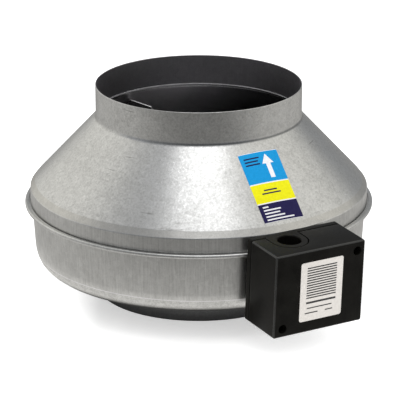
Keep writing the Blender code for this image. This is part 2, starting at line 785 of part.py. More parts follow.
def balance_clip():
    """A U clip pushed over the hub's rim, midway between two blades."""
    low, high = HUB_FOOT - GAP, HUB_FOOT + HUB_SHEET + GAP
    sheet, inner, outer = 0.0010, 0.1045, IMPELLER_RADIUS + GAP
    section = [
        (inner, low - sheet),
        (outer + sheet, low - sheet),
        (outer + sheet, high + sheet),
        (inner, high + sheet),
        (inner, high),
        (outer, high),
        (outer, low),
        (inner, low),
    ]
    clip = turned(prism(section, -0.0040, 0.0040), math.pi / 2, "X")
    return turned(clip, math.radians(18), "Z")


# ---------------------------------------------------------------- terminal box


def box_holes(box, name, places, radius, deep, shallow):
    """Round cutters into the terminal box, between two depths behind its front face."""
    return tool(name, posts(places, radius, -deep, -shallow), box)


def make_box_base(box):
    """Shallow tray with the conduit tongue and the posts that the cover's screws go into."""
    block = prism(box_outline(0), -BOX_DEPTH, -BASE_RIM)
    base = add("box_base", block, "black_plastic", box)
    floor = BOX_DEPTH - BOX_BACK
    cut(base, tool("base_cavity", prism(box_outline(BOX_WALL), -floor, -BASE_RIM + 0.002), box))
    top, under = BOX_HEIGHT, BOX_HEIGHT - BOX_BACK
    tongue = upright(prism(u_outline(TONGUE_RADIUS, BASE_RIM + 0.001), under, top))
    collar = upright(posts([CONDUIT_AT], 0.0140, top - 0.0120, under + 0.001, 24))
    screw_posts = posts([*COVER_SCREWS_AT, GROUND_SCREW_AT], 0.0050, -floor - 0.001, -BASE_RIM)
    fuse(
        base,
        tool("base_tongue", tongue, box),
        tool("base_collar", collar, box),
        tool("base_posts", screw_posts, box),
    )
    conduit = upright(posts([CONDUIT_AT], CONDUIT_RADIUS, top - 0.014, top + 0.001, 24))
    seam = [(0.1600, 0.0878), (SEAM_RADIUS + 0.0007, 0.0878)]
    seam += [(SEAM_RADIUS + 0.0007, 0.0932), (0.1600, 0.0932)]
    threads = [*COVER_SCREWS_AT, GROUND_SCREW_AT]
    cut(
        base,
        tool("base_conduit_hole", conduit, box),
        tool("base_seam_relief", revolved(seam, ROUND_HOUSING)),
        box_holes(box, "base_threads_holes", threads, 0.0023, BOX_DEPTH - 0.001, BASE_RIM - 0.001),
        box_holes(box, "base_screw_holes", BOX_SCREWS_AT, 0.0023, BOX_DEPTH + 0.001, BASE_RIM),
        box_holes(box, "base_lead_opening", [LEAD_AT], 0.0040, BOX_DEPTH + 0.001, BASE_RIM),
    )


def make_box_cover(cover):
    """Deep cover with screw wells in two opposite corners and a notch round the conduit tongue."""
    shape = bmesh.new()
    full = box_outline(0)
    add_prism(shape, ((full, -COVER_DEPTH), (full, -COVER_EDGE), (box_outline(COVER_EDGE), 0)))
    obj = add("box_cover", shape, "black_plastic", cover)
    inside = prism(box_outline(BOX_WALL), -COVER_DEPTH - 0.001, -BOX_WALL)
    cut(obj, tool("cover_cavity", inside, cover))
    wells = posts(COVER_SCREWS_AT, WELL_RADIUS, -COVER_DEPTH, -BOX_WALL + 0.001, ROUND_SMALL)
    fuse(obj, tool("cover_wells", wells, cover))
    notch = u_outline(TONGUE_RADIUS + NOTCH_GAP, COVER_DEPTH + 0.002)
    notch = upright(prism(notch, BOX_HEIGHT - BOX_WALL - 0.001, BOX_HEIGHT + 0.001))
    cut(
        obj,
        box_holes(cover, "cover_recesses", COVER_SCREWS_AT, RECESS_RADIUS, RECESS_DEPTH, -0.001),
        box_holes(cover, "cover_clearance", COVER_SCREWS_AT, 0.0024, 0.0440, RECESS_DEPTH - 0.001),
        tool("cover_notch", notch, cover),
    )


def make_cover_trim(cover):
    """Gasket, screws and label, which come away with the cover."""
    low, high = BASE_RIM - GAP, COVER_DEPTH + GAP
    gasket = add("cover_gasket", prism(box_outline(0.0006), -low, -high), "rubber", cover)
    hollow = prism(box_outline(BOX_WALL), -low - 0.001, -high + 0.001)
    opening = u_outline(TONGUE_RADIUS + NOTCH_GAP, 0.0460)
    opening = upright(prism(opening, BOX_HEIGHT - 0.004, BOX_HEIGHT + 0.001))
    cut(gasket, tool("gasket_hollow", hollow, cover), tool("gasket_opening", opening, cover))
    screw = mesh_of("cover_screw", screw_shape(0.0037, 0.0024, 0.0020, 0.0135), "zinc")
    for k, (x, y) in enumerate(COVER_SCREWS_AT, 1):
        place(f"cover_screw_{k}", screw, cover, (x, y, -RECESS_DEPTH + GAP))
    label = prism(rectangle(LABEL_LOW, LABEL_HIGH, 0.0025), 0.0001, 0.0003)
    add("box_label", label, "label_paper", cover)


def drum_depth(x):
    """How far the drum lies behind the box's front face, at a place to the side."""
    radius = drum_radius(0.067)
    return DRUM_DEPTH + radius - math.sqrt(radius**2 - x**2)


def make_box_mounting(box):
    """Foam pad and screws between the box and the drum, and the grommet round the motor lead."""
    half = PAD_SIZE[0] / 2
    steps = [half * (k / 4 - 1) for k in range(9)]
    outline = [(x, drum_depth(x) - GAP) for x in steps]
    outline += [(half, BOX_DEPTH + GAP), (-half, BOX_DEPTH + GAP)]
    middle = LEAD_AT[1]
    low, high = middle - PAD_SIZE[1] / 2, middle + PAD_SIZE[1] / 2
    pad = add("box_pad", upright(prism(outline, low, high)), "foam", box)
    cut(
        pad,
        box_holes(box, "pad_lead_hole", [LEAD_AT], 0.0096, 0.0640, BOX_DEPTH - 0.002),
        box_holes(box, "pad_screw_holes", BOX_SCREWS_AT, 0.0024, 0.0640, BOX_DEPTH - 0.002),
    )
    screw = mesh_of("box_screw", screw_shape(0.0038, 0.0022, 0.0019, 0.0150), "zinc")
    for k, (x, y) in enumerate(BOX_SCREWS_AT, 1):
        place(f"box_screw_{k}", screw, box, (x, y, -BOX_DEPTH + BOX_BACK + GAP))
    bore, neck, flange = LEAD_RADIUS + 0.0004, 0.0064, 0.0090
    outer, inner = drum_depth(0) - GAP, drum_depth(0) + SHEET + 0.0009
    grommet = [(bore, 0.0018 - outer), (flange, 0.0018 - outer), (flange, -outer), (neck, -outer)]
    grommet += [(neck, -inner), (flange, -inner), (flange, -inner - 0.0016), (bore, -inner - 0.0016)]
    add("cable_grommet", revolved(grommet, ROUND_SMALL), "rubber", box, (*LEAD_AT, 0))


def make_motor_lead(box):
    """The cable from the terminal box, up inside the drum and in above the impeller to the stator."""
    x, y = LEAD_AT
    start = box.matrix_world @ Vector((x, y, -0.0400))
    inside = box.matrix_world @ Vector((x, y, -0.0640))
    run = 0.1245
    corners = [
        start,
        inside,
        Vector((0, -0.1500, 0.1060)),
        Vector((0, -0.1300, run)),
        Vector((0, -LEAD_HOLE, run)),
        Vector((0, -LEAD_HOLE, 0.1135)),
    ]
    path = [corners[0]]
    for before, at, after in zip(corners, corners[1:], corners[2:]):
        path += round_corner(before, at, after, 0.0055, 3)
    path.append(corners[-1])
    add("motor_lead", tube(path, LEAD_RADIUS, ROUND_TINY), "rubber")


def make_box_contents(box):
    """Terminal block, run capacitor with its clip, and the screws of the terminals and the ground."""
    low, high = (0.0090, 0.0460), (0.0370, 0.0600)
    block = prism(rectangle(low, high), -0.0467, -0.0330)
    block = add("terminal_block", block, "white_plastic", box)
    spots = [(0.0140 + 0.0090 * k, 0.0530) for k in range(3)]
    cut(
        block,
        box_holes(box, "block_pockets", spots, 0.0032, 0.0380, 0.0320),
        box_holes(box, "block_threads", spots, 0.0018, 0.0445, 0.0370),
    )
    screw = mesh_of("terminal_screw", screw_shape(0.0027, 0.0016, 0.0014, 0.0055), "brass")
    for k, (x, y) in enumerate(spots, 1):
        place(f"terminal_screw_{k}", screw, box, (x, y, -0.0377))
    ground = mesh_of("ground_screw", screw_shape(0.0040, 0.0022, 0.0020, 0.0050), "brass")
    place("ground_screw", ground, box, (*GROUND_SCREW_AT, -BASE_RIM + GAP))
    radius, depth, height, ends = 0.0130, 0.0315, 0.0180, (-0.0260, 0.0380)
    tip = 0.0015
    can = [(0, ends[0]), (radius - tip, ends[0]), (radius, ends[0] + tip)]
    can += [(radius, ends[1] - tip), (radius - tip, ends[1]), (0, ends[1])]
    can = turned(revolved(can, ROUND_BEARING), math.pi / 2, "Y")
    add("capacitor", can, "grey_plastic", box, (0, height, -depth))
    clip = split_ring(radius + GAP, radius + 0.0014, math.radians(60), -0.0040, 0.0060, 20)
    clip = turned(clip, math.pi / 2, "Y")
    add("capacitor_clip", clip, "zinc", box, (0, height, -depth))


def main():
    clear_scene()
    rotor = frame_empty("impeller_axis")
    box = frame_empty("terminal_box_frame", BOX_ORIGIN, (math.pi / 2 + BOX_LEAN, 0, 0))
    cover = frame_empty("terminal_cover_frame", parent=box)
    bpy.context.view_layer.update()
    rivet_holes = posts([p.xy for p in rivet_places()], 0.0019, FLOOR - 0.002, FLOOR + 0.004)
    rivet_holes = tool("rivet_holes", rivet_holes)
    drum_holes = [
        box_holes(box, "drum_lead_hole", [LEAD_AT], 0.0070, 0.0640, 0.0530),
        box_holes(box, "drum_screw_holes", BOX_SCREWS_AT, 0.0023, 0.0640, 0.0530),
    ]
    make_outlet_shell()
    make_inlet_shell([rivet_holes, *drum_holes])
    make_nozzle([rivet_holes])
    make_rivets()
    make_sticker()
    make_support()
    make_stator_base()
    make_stator()
    make_bearings(rotor)
    make_impeller(rotor, make_rotor(rotor))
    make_box_base(box)
    make_box_mounting(box)
    make_motor_lead(box)
    make_box_contents(box)
    make_box_cover(cover)
    make_cover_trim(cover)


main()
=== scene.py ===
import json
import math

import bmesh
import bpy
from mathutils import Matrix, Vector


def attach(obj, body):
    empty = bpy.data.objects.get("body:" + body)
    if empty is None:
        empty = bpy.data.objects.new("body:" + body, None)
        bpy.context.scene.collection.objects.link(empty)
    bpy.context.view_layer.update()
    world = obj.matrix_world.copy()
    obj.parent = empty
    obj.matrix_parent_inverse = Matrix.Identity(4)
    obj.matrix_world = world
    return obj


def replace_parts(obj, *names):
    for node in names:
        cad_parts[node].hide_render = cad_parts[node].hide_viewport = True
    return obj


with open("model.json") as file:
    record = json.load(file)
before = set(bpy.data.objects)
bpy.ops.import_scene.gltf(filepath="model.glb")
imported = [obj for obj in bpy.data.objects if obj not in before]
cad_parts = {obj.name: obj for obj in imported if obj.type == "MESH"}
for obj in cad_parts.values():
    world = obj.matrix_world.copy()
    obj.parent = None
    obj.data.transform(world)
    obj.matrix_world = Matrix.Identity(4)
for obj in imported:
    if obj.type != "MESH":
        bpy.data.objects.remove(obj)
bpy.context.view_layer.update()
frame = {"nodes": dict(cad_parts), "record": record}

# The looks of an inline duct fan: spun galvanised shells, a black moulded terminal box, printed stickers.
# Metres, +Z up the duct axis, the terminal box towards -Y. Azimuth 0 is -Y and 90 is +X.

RECORD = frame["record"]
BODY_OF = {node: body for body, nodes in RECORD["behaviour"]["bodies"].items() for node in nodes}
SLOT_OF = {part["node"]: part["material_slot"] for part in RECORD["subparts"]}

# Rounding
ROUND_LARGE, ROUND_MEDIUM, ROUND_SMALL, ROUND_HOLE = 216, 96, 40, 48  # sides of turned pieces and of holes
STRAIGHT_TURN = math.radians(1.5)  # a corner that turns less than this stays as it is
CURVE_TURNS = math.radians(8), math.radians(35)  # a corner that turns this much belongs to a curve
ARC_STEP = 14  # degrees of turn to each step of an arc
LONGEST_ARC = 0.49  # how far an arc may reach along an edge, as a share of the edge
ARC_MARGIN = 0.0002
SHARP_ANGLE = math.radians(38)  # faces that meet at more than this keep a crisp edge
FINE_BEND, SMALL_BEND = 0.0002, 0.0004
THIN_EDGE, THICK_EDGE, CAST_EDGE, CAN_EDGE = 0.00015, 0.0005, 0.0003, 0.0012
SAME = 1e-5  # coordinates closer than this are the same

# Sheet metal
SHEET = 0.0010
BEND = 0.0007  # inside radius of a bend
TURNED = (  # node, sides, inside radius of its bends, and how much larger they are outside
    ("inlet_nozzle", ROUND_LARGE, 0.003, SHEET),
    ("impeller_hub", ROUND_MEDIUM, BEND, SHEET),
    ("impeller_shroud", ROUND_LARGE, BEND, SHEET),
    ("rotor_cup", ROUND_MEDIUM, 0.0006, 0.0012),
    *[(name, ROUND_MEDIUM, FINE_BEND, FINE_BEND)
      for name in ("shaft", "wave_washer", "lower_inner_race", "lower_outer_race", "upper_inner_race",
                   "upper_outer_race")],
)
CREASE_SPAN, CREASE_RADIUS = (0.108, 0.114), 0.15  # the crease under the cone lies between and outside these
CREASE_LIFT = 0.0006
CONE_SPAN = 0.03  # the cone's side is longer than this across and up
COLLAR_FOOT = 0.1765  # height of the corner between the outlet collar and the cone
ZONE_MARGIN = 0.0002
COLLAR_STEP = 0.0018  # the collar's outside lies less than this inside the cone's top end
FOOT_RADIUS = 0.1010  # the inlet collar lies inside this
SHOULDER_LINE = (0.0433, 0.0441)  # heights of the painted highlight line between the drum's wall and its shoulder
INNER_LINE = (0.0024, 0.0036)  # heights over the collar's foot of the rolled line inside it, painted bright as a highlight
CREASE_SHADE_REACH, CREASE_SHADE_FRONT = (0.0004, 0.0016), (-0.085, -0.045)  # painted shade in the collar's crease: its reach from the collar's bend, and along Y
PAINTED_LIGHT_FADE, PAINTED_SHADE_FADE = (-0.02, 0.05), (0.04, 0.10)  # painted light and painted shade, each along X, inside the cone

# Terminal box, in its own frame: X to the side, Y up its front face, Z out of it, from its lower front edge
COVER_DEPTH = 0.0426
BOX_WALL = 0.0025
BOX_BACK = 0.0030
BOX_CORNER = 0.0020
BASE_RIM = 0.0440
EDGE_ROUND, BACK_ROUND, RIM_ROUND = 0.0014, 0.0006, 0.0003  # front, back, and where the cover meets the base
LEAST_CORNER = 0.0004
CONDUIT_AT = (-0.0157, 0.0302)  # to the side, and in from the front face
CONDUIT_RADIUS = 0.0111
CONDUIT_COLLAR = 0.0140
COLLAR_DROP = 0.0120
CONDUIT_MOUTH, CONDUIT_MOUTH_DEPTH = 0.0017, 0.0007
TONGUE_RADIUS = 0.0174
TONGUE_EDGE, TONGUE_EDGE_DEPTH = 0.0004, 0.0005
NOTCH_GAP = 0.0009
WELL_RADIUS = 0.0076
RECESS_RADIUS = 0.0042
RECESS_DEPTH = 0.0348
POST_RADIUS = 0.0050
THREAD_RADIUS = 0.0023
LEAD_OPENING = 0.0040
RECESS_MOUTH = 0.0004
SEAM_GAP, SEAM_REACH, SEAM_DEPTH = 0.0007, 0.0012, 0.010  # round the seam, where it passes through the box
PAST = 0.001  # how far a cutter runs past the face it cuts
SQUARE_ON = 0.99  # a face whose normal is this near an axis is flat, and not part of a rounded edge

# Label
PRINT_LIFT = 0.00004
LABEL_CORNER, LABEL_EDGE = 0.0022, 0.0001
PANEL_HALF, PANEL_DROP, PANEL_LINES = 0.0160, 0.0045, 13  # the square of lines, and how far down it starts
LINE_START, LINE_SHARE = 0.18, 0.5  # a line's place and height, as shares of the step between lines
LABEL_RULES = (  # height over the label's foot, ends from its middle, thickness
    (0.0170, -0.0160, 0.0160, 0.0020),
    (0.0120, -0.0150, 0.0120, 0.0011),
    (0.0072, -0.0170, -0.0030, 0.0011),
    (0.0072, 0.0050, 0.0130, 0.0011),
)

# Airflow sticker
STICKER_SPAN = (0.00005, 0.00022)  # heights over the cone
PRINT_SPAN = (0.00015, 0.00026)
STICKER_BANDS = (  # where each colour starts, as a share of the sticker's length
    (0.0, "white"), (0.006, "cyan"), (0.44, "white"), (0.455, "yellow"), (0.72, "white"), (0.735, "navy"),
    (0.994, "white"),
)
STICKER_ROWS, STICKER_COLUMNS = 30, 24
ARROW_ACROSS, ARROW_DOWN = 0.0275, 0.22  # from the sticker's left edge, and as a share of its length
ARROW = ((-0.0125, 0.0002), (-0.0030, 0.0062), (-0.0029, 0.0024), (0.0120, 0.0024))  # along, half width
RULE_STEP, RULE_THICK = 0.045, 0.0014  # as a share of the sticker's length, and in metres
RULE_LEFT = 0.004
STICKER_RULES = (  # name, ink, where the first one starts down the sticker, and each one's ends across
    ("cyan_rule", "navy", 0.07, ((RULE_LEFT, 0.020), (RULE_LEFT, 0.018), (RULE_LEFT, 0.019))),
    ("yellow_rule", "navy", 0.54, ((0.012, 0.026), (0.009, 0.029))),
    ("navy_rule", "white", 0.77, [(RULE_LEFT, end) for end in (0.010, 0.022, 0.020, 0.024, 0.033)]),
)

# Screws and rivets
CROSS_ARM = 0.22  # half width of the cross recess, as a share of the head's radius
CROSS_REACH = 0.62
CROSS_DEPTH = 0.55  # as a share of the head's height

# Inside
MOTOR_SCREWS = ("motor_screw_1", "motor_screw_2", "motor_screw_3")
MOTOR_SCREW_HOLE = 0.0026
BOSS_RADIUS, BOSS_FLOOR = 0.0060, 0.0006
LEAD_HOLE_AT, LEAD_HOLE_RADIUS = (0.0, -0.0240), 0.0045  # in the stator's flange
ARM_EDGE, ARM_EDGE_TILT = 0.004, 0.3  # how far down an arm its sheared edge and its painted highlight reach, and how the edge must face up
BLADES, BLADE_STEPS = 7, 10
BLADE_SLOPE = 1e-4  # the corners of a blade's top edge are this level

# Camera, from the distance, height and side that the photograph was taken from
CAMERA_AZIMUTH = math.radians(-30.46)
CAMERA_ELEVATION = math.radians(18.97)
CAMERA_DISTANCE = 2.397
CAMERA_LENS = 219.8
CAMERA_AIM = 0.08798
CAMERA_SIDE = 0.00129
TO_FRONT = Vector((math.sin(CAMERA_AZIMUTH), -math.cos(CAMERA_AZIMUTH), 0))  # level, towards the camera
TO_SIDE = Vector((-TO_FRONT.y, TO_FRONT.x, 0))  # level, to the camera's right

# Studio
ROOM_LIGHT = 1.10
LAMP_AT = (0.07, 0.50, 1.5)  # to the camera's right, towards the camera, up
LAMP_SIZE = (0.88, 0.9)
LAMP_RADIANCE = 1.6
LAMP_TARGET = (0, 0, 0.08)
FLOOR_HALF = 6.0
FLOOR_GLOW = (0.48, 0.85)  # floor emission under the fan, and raised in front of the terminal box and to the fan's left, a painted pool of light over their shadows
FLOOR_LIGHT_POOLS = (  # a way, to the camera's right and towards it, and the distances between which the painted light rises
    (0.6, 0.8, 0.13, 0.215),
    (-1.0, 0.0, 0.095, 0.122),
)
ROOM_TURN = math.radians(15)  # the room's dark side lies this far to the camera's left
ROOM_REFLECTED = (  # from straight behind the fan to the dark side
    (0.0, (0.28, 0.29, 0.30, 1.0)),
    (0.06, (0.27, 0.28, 0.295, 1.0)),
    (0.16, (0.89, 0.88, 0.835, 1.0)),
    (0.58, (0.92, 0.91, 0.87, 1.0)),
    (0.635, (0.42, 0.43, 0.455, 1.0)),
    (1.0, (0.20, 0.21, 0.215, 1.0)),
)
GLOW_UNDER = ((0.10, 0.03), (0.140, 0.05))  # distance from the axis, brightness
GLOW_AROUND = (*GLOW_UNDER, (0.160, 0.88), (0.222, 0.84), (0.236, 0.60), (0.45, 0.52), (0.8, 0.58))
GLOW_IN_FRONT = (*GLOW_UNDER, (0.160, 0.92), (0.222, 0.84), (0.236, 0.56), (0.45, 0.25), (0.8, 0.21))
GLOW_BEHIND = (*GLOW_UNDER, (0.160, 0.88), (0.222, 0.84), (0.236, 0.60), (0.40, 0.40), (0.55, 0.30))
GLOW_TINT = (1.0, 0.985, 0.95)
FRONT_SPAN, BACK_SPAN = (0.3, 0.95), (-0.70, -0.92)  # how squarely a way points to the camera


# ---- materials


class Nodes:
    """A node tree, with short calls for its nodes."""

    def __init__(self, tree):
        self.tree = tree

    def node(self, kind, **settings):
        made = self.tree.nodes.new(kind)
        for key, value in settings.items():
            setattr(made, key, value)
        return made

    def feed(self, socket, value):
        if isinstance(value, bpy.types.NodeSocket):
            self.tree.links.new(value, socket)
        else:
            socket.default_value = value

    def sum(self, operation, one, other):
        made = self.node("ShaderNodeMath", operation=operation)
        self.feed(made.inputs[0], one)
        self.feed(made.inputs[1], other)
        return made.outputs[0]

    def vector(self, operation, one, other=(0, 0, 0)):
        made = self.node("ShaderNodeVectorMath", operation=operation)
        self.feed(made.inputs[0], one)
        made.inputs[1].default_value = other
        return made.outputs["Value" if operation in ("DOT_PRODUCT", "LENGTH") else "Vector"]

    def span(self, value, low, high, to_low, to_high):
        made = self.node("ShaderNodeMapRange")
        for socket, given in zip(made.inputs, (value, low, high, to_low, to_high)):
            self.feed(socket, given)
        return made.outputs[0]

    def ramp(self, value, stops):
        made = self.node("ShaderNodeValToRGB")
        self.feed(made.inputs[0], value)
        for k, (position, colour) in enumerate(stops):
            stop = made.color_ramp.elements[k] if k < 2 else made.color_ramp.elements.new(position)
            stop.position = position
            stop.color = colour
        return made.outputs[0]

    def blend(self, amount, one, other):
        made = self.node("ShaderNodeMix", data_type="RGBA")
        self.feed(made.inputs["Factor"], amount)
        self.feed(made.inputs[6], one)
        self.feed(made.inputs[7], other)
        return made.outputs[2]


class Finish(Nodes):
    """A Principled material."""

    def __init__(self, name, metallic=0.0, gloss=0.5):
        self.material = bpy.data.materials.new(name)
        self.material.use_nodes = True
        super().__init__(self.material.node_tree)
        self.shader = self.tree.nodes["Principled BSDF"]
        self.shader.inputs["Metallic"].default_value = metallic
        self.shader.inputs["Specular IOR Level"].default_value = gloss
        self.place = self.node("ShaderNodeTexCoord").outputs["Object"]

    def stretched(self, scales):
        return self.vector("MULTIPLY", self.place, scales)

    def axes(self):
        apart = self.node("ShaderNodeSeparateXYZ")
        self.feed(apart.inputs[0], self.place)
        return apart.outputs

    def noise(self, scale, detail, roughness, place=None):
        made = self.node("ShaderNodeTexNoise")
        self.feed(made.inputs["Vector"], place or self.place)
        made.inputs["Scale"].default_value = scale
        made.inputs["Detail"].default_value = detail
        made.inputs["Roughness"].default_value = roughness
        return made.outputs["Fac"]

    def crystals(self, scale):
        """A random value for each cell of a broken up pattern."""
        made = self.node("ShaderNodeTexVoronoi")
        self.feed(made.inputs["Vector"], self.place)
        made.inputs["Scale"].default_value = scale
        apart = self.node("ShaderNodeSeparateColor")
        self.feed(apart.inputs[0], made.outputs["Color"])
        return apart.outputs[0]

    def bump(self, height, distance, strength):
        made = self.node("ShaderNodeBump")
        made.inputs["Strength"].default_value = strength
        made.inputs["Distance"].default_value = distance
        self.feed(made.inputs["Height"], height)
        self.feed(self.shader.inputs["Normal"], made.outputs[0])

    def drive(self, colour, roughness):
        self.feed(self.shader.inputs["Base Color"], colour)
        self.feed(self.shader.inputs["Roughness"], roughness)


def rgb(red, green, blue):
    return (red, green, blue, 1.0)


def galvanised(name, dark, light, streaks, speckle, roughness, marks=()):
    """Zinc coated sheet: faint crystals, a fine grain, rolling streaks that run up the sheet, and marks."""
    made = Finish(name, metallic=1.0)
    grain = made.noise(1500, 2, 0.6)
    mottle = made.noise(470, 4, 0.75)
    broad = made.noise(22, 3, 0.5)
    lines = made.noise(1.0, 3, 0.6, made.stretched((760, 760, 26)))
    tone = made.sum("MULTIPLY", made.crystals(210), 0.14)
    for value, weight in ((grain, 0.5), (mottle, speckle), (broad, 0.35), (lines, streaks)):
        tone = made.sum("ADD", tone, made.sum("MULTIPLY", made.sum("SUBTRACT", value, 0.5), weight))
    shade = made.span(tone, -0.35, 0.5, 0.0, 1.0)
    colour = made.blend(shade, dark, light)
    for mark in marks:
        colour = mark(made, colour)
    made.drive(colour, made.span(shade, 0.0, 1.0, roughness + 0.10, roughness - 0.05))
    relief = made.sum("ADD", made.sum("MULTIPLY", mottle, speckle), made.sum("MULTIPLY", lines, streaks))
    made.bump(relief, 0.00012, 0.55)
    return made.material


def painted_crease_shade(made, colour):
    """Painted shade: a dark line along the crease at the collar's foot, mostly at the front."""
    axes = made.axes()
    off = made.sum("ABSOLUTE", made.sum("SUBTRACT", axes["Z"], COLLAR_FOOT), 0.0)
    line = made.span(off, *CREASE_SHADE_REACH, 0.75, 0.0)
    front = made.span(axes["Y"], *CREASE_SHADE_FRONT, 1.0, 0.15)
    return made.blend(made.sum("MULTIPLY", line, front), colour, rgb(0.07, 0.075, 0.08))


def painted_light_and_shade(made, colour):
    """Painted light on one side, and painted shade on the other."""
    across = made.axes()["X"]
    colour = made.blend(made.span(across, *PAINTED_LIGHT_FADE, 0.75, 0.0), colour, rgb(0.92, 0.90, 0.92))
    return made.blend(made.span(across, *PAINTED_SHADE_FADE, 0.0, 0.88), colour, rgb(0.02, 0.02, 0.02))


def scratched(made, colour):
    """Short level scratches, in patches."""
    marks = made.span(made.noise(1.0, 2, 0.5, made.stretched((36, 36, 620))), 0.66, 0.72, 0.0, 1.0)
    where = made.span(made.noise(14, 2, 0.5), 0.52, 0.60, 0.0, 0.55)
    return made.blend(made.sum("MULTIPLY", marks, where), colour, rgb(0.16, 0.155, 0.145))


def grained(made, tones, grain, broad, spread, roughness, relief):
    """Drives a finish's colour and relief with a fine grain, and its gloss with broad patches."""
    fine = made.noise(grain, 3, 0.6)
    shade = made.span(made.sum("ADD", fine, broad), 1.0 - spread, 1.0 + spread, 0.0, 1.0)
    made.drive(made.blend(shade, *tones), made.span(broad, 0.3, 0.7, *roughness))
    made.bump(fine, *relief)
    return made.material


def moulded(name, dark, light, rough, grain=2200, depth=0.00004, gloss=0.5):
    """Moulded plastic with an eroded texture."""
    made = Finish(name, gloss=gloss)
    patches = made.noise(60, 3, 0.5)
    return grained(made, (dark, light), grain, patches, 0.3, (rough - 0.05, rough + 0.07), (depth, 0.5))


def machined(name, dark, light, rough, grain=900, metallic=1.0):
    """Plated or ground metal with a fine even grain."""
    made = Finish(name, metallic=metallic)
    patches = made.noise(120, 2, 0.5)
    return grained(made, (dark, light), grain, patches, 0.25, (rough, rough + 0.1), (0.00002, 0.4))


def printed(name, colour, roughness=0.42):
    """Printing ink or coated paper, slightly uneven."""
    made = Finish(name, gloss=0.15)
    uneven = made.noise(420, 3, 0.6)
    fainter = [min(1.0, c * 1.06 + 0.004) for c in colour]
    deeper = [c * 0.94 for c in colour]
    made.drive(made.blend(made.span(uneven, 0.3, 0.7, 0.0, 1.0), rgb(*deeper), rgb(*fainter)), roughness)
    made.bump(uneven, 0.00001, 0.3)
    return made.material


def ridged(name, dark, light, roughness, scales, detail, spread, relief, metallic=1.0):
    """Fine ridges, of stacked sheets or of wound wire."""
    made = Finish(name, metallic=metallic)
    ridges = made.noise(1.0, detail, 0.5, made.stretched(scales))
    shade = made.span(ridges, 0.5 - spread, 0.5 + spread, 0.0, 1.0)
    made.drive(made.blend(shade, dark, light), roughness)
    made.bump(ridges, *relief)
    return made.material


def foam():
    """Closed cell foam with open pores on its cut faces."""
    made = Finish("cell_foam")
    pores = made.crystals(1700)
    made.drive(made.blend(pores, rgb(0.02, 0.02, 0.02), rgb(0.09, 0.09, 0.09)), 0.95)
    made.bump(pores, 0.0002, 0.8)
    return made.material


# The speckled sheet also carries the painted shade in the crease at the collar's foot.
SHEET_FACE = galvanised("galvanised_speckled", rgb(0.40, 0.40, 0.39), rgb(0.80, 0.80, 0.79), 0.10, 1.3, 0.29,
                        (painted_crease_shade, scratched))
SHEET_WALL = galvanised("galvanised_streaked", rgb(0.42, 0.42, 0.41), rgb(0.76, 0.76, 0.75), 0.85, 0.40, 0.31)
SHEET_BAND = galvanised("galvanised_band", rgb(0.40, 0.395, 0.375), rgb(0.70, 0.69, 0.66), 0.55, 0.35, 0.32)
# Darker tones of the same sheet for the fan's inside: painted shade.
INSIDE_SHADE_TONES = rgb(0.27, 0.265, 0.28), rgb(0.50, 0.49, 0.515)
SHEET_INSIDE_SHADE = galvanised("galvanised_inside_painted_shade", *INSIDE_SHADE_TONES, 0.25, 0.4, 0.32)
# Under the rolled line inside the cone: painted light towards -X and painted shade towards +X.
SHEET_DEEP_LIGHT_AND_SHADE = galvanised("galvanised_painted_light_and_shade", *INSIDE_SHADE_TONES, 0.25, 0.4, 0.36, (painted_light_and_shade,))
# The same sheet made darker on the inlet's foot collar under the drum: painted shade.
SHEET_FOOT_SHADE = galvanised("galvanised_foot_painted_shade", rgb(0.20, 0.20, 0.205), rgb(0.38, 0.38, 0.39), 0.25, 0.8, 0.34)
# Near black sheet for the support arms: painted shade.
SHEET_ARM_SHADE = galvanised("galvanised_arm_painted_shade", rgb(0.07, 0.07, 0.07), rgb(0.16, 0.16, 0.16), 0.25, 0.4, 0.45)
# A bright line round the drum where its wall meets its shoulder: a painted highlight.
SHEET_SHOULDER_HIGHLIGHT = galvanised("galvanised_shoulder_painted_highlight", rgb(0.70, 0.69, 0.71), rgb(0.95, 0.94, 0.96), 0.25, 0.4, 0.50)
BLACK_PLASTIC = moulded("black_moulding", rgb(0.0025, 0.0023, 0.0019), rgb(0.0075, 0.007, 0.0058), 0.36,
                        grain=1300, depth=0.00009, gloss=0.09)
# The cover's rounded edges: glossier from rubbing, and painted lighter as a highlight.
BLACK_EDGE_HIGHLIGHT = moulded("black_rubbed_edge_painted_highlight", rgb(0.006, 0.006, 0.006), rgb(0.018, 0.018, 0.017), 0.26,
                     gloss=0.55)
# A bright ring inside the collar: a painted highlight on the rolled line.
ROLLED_LINE_HIGHLIGHT = machined("rolled_line_painted_highlight", rgb(0.55, 0.55, 0.56), rgb(0.80, 0.80, 0.81), 0.40, metallic=0.5)
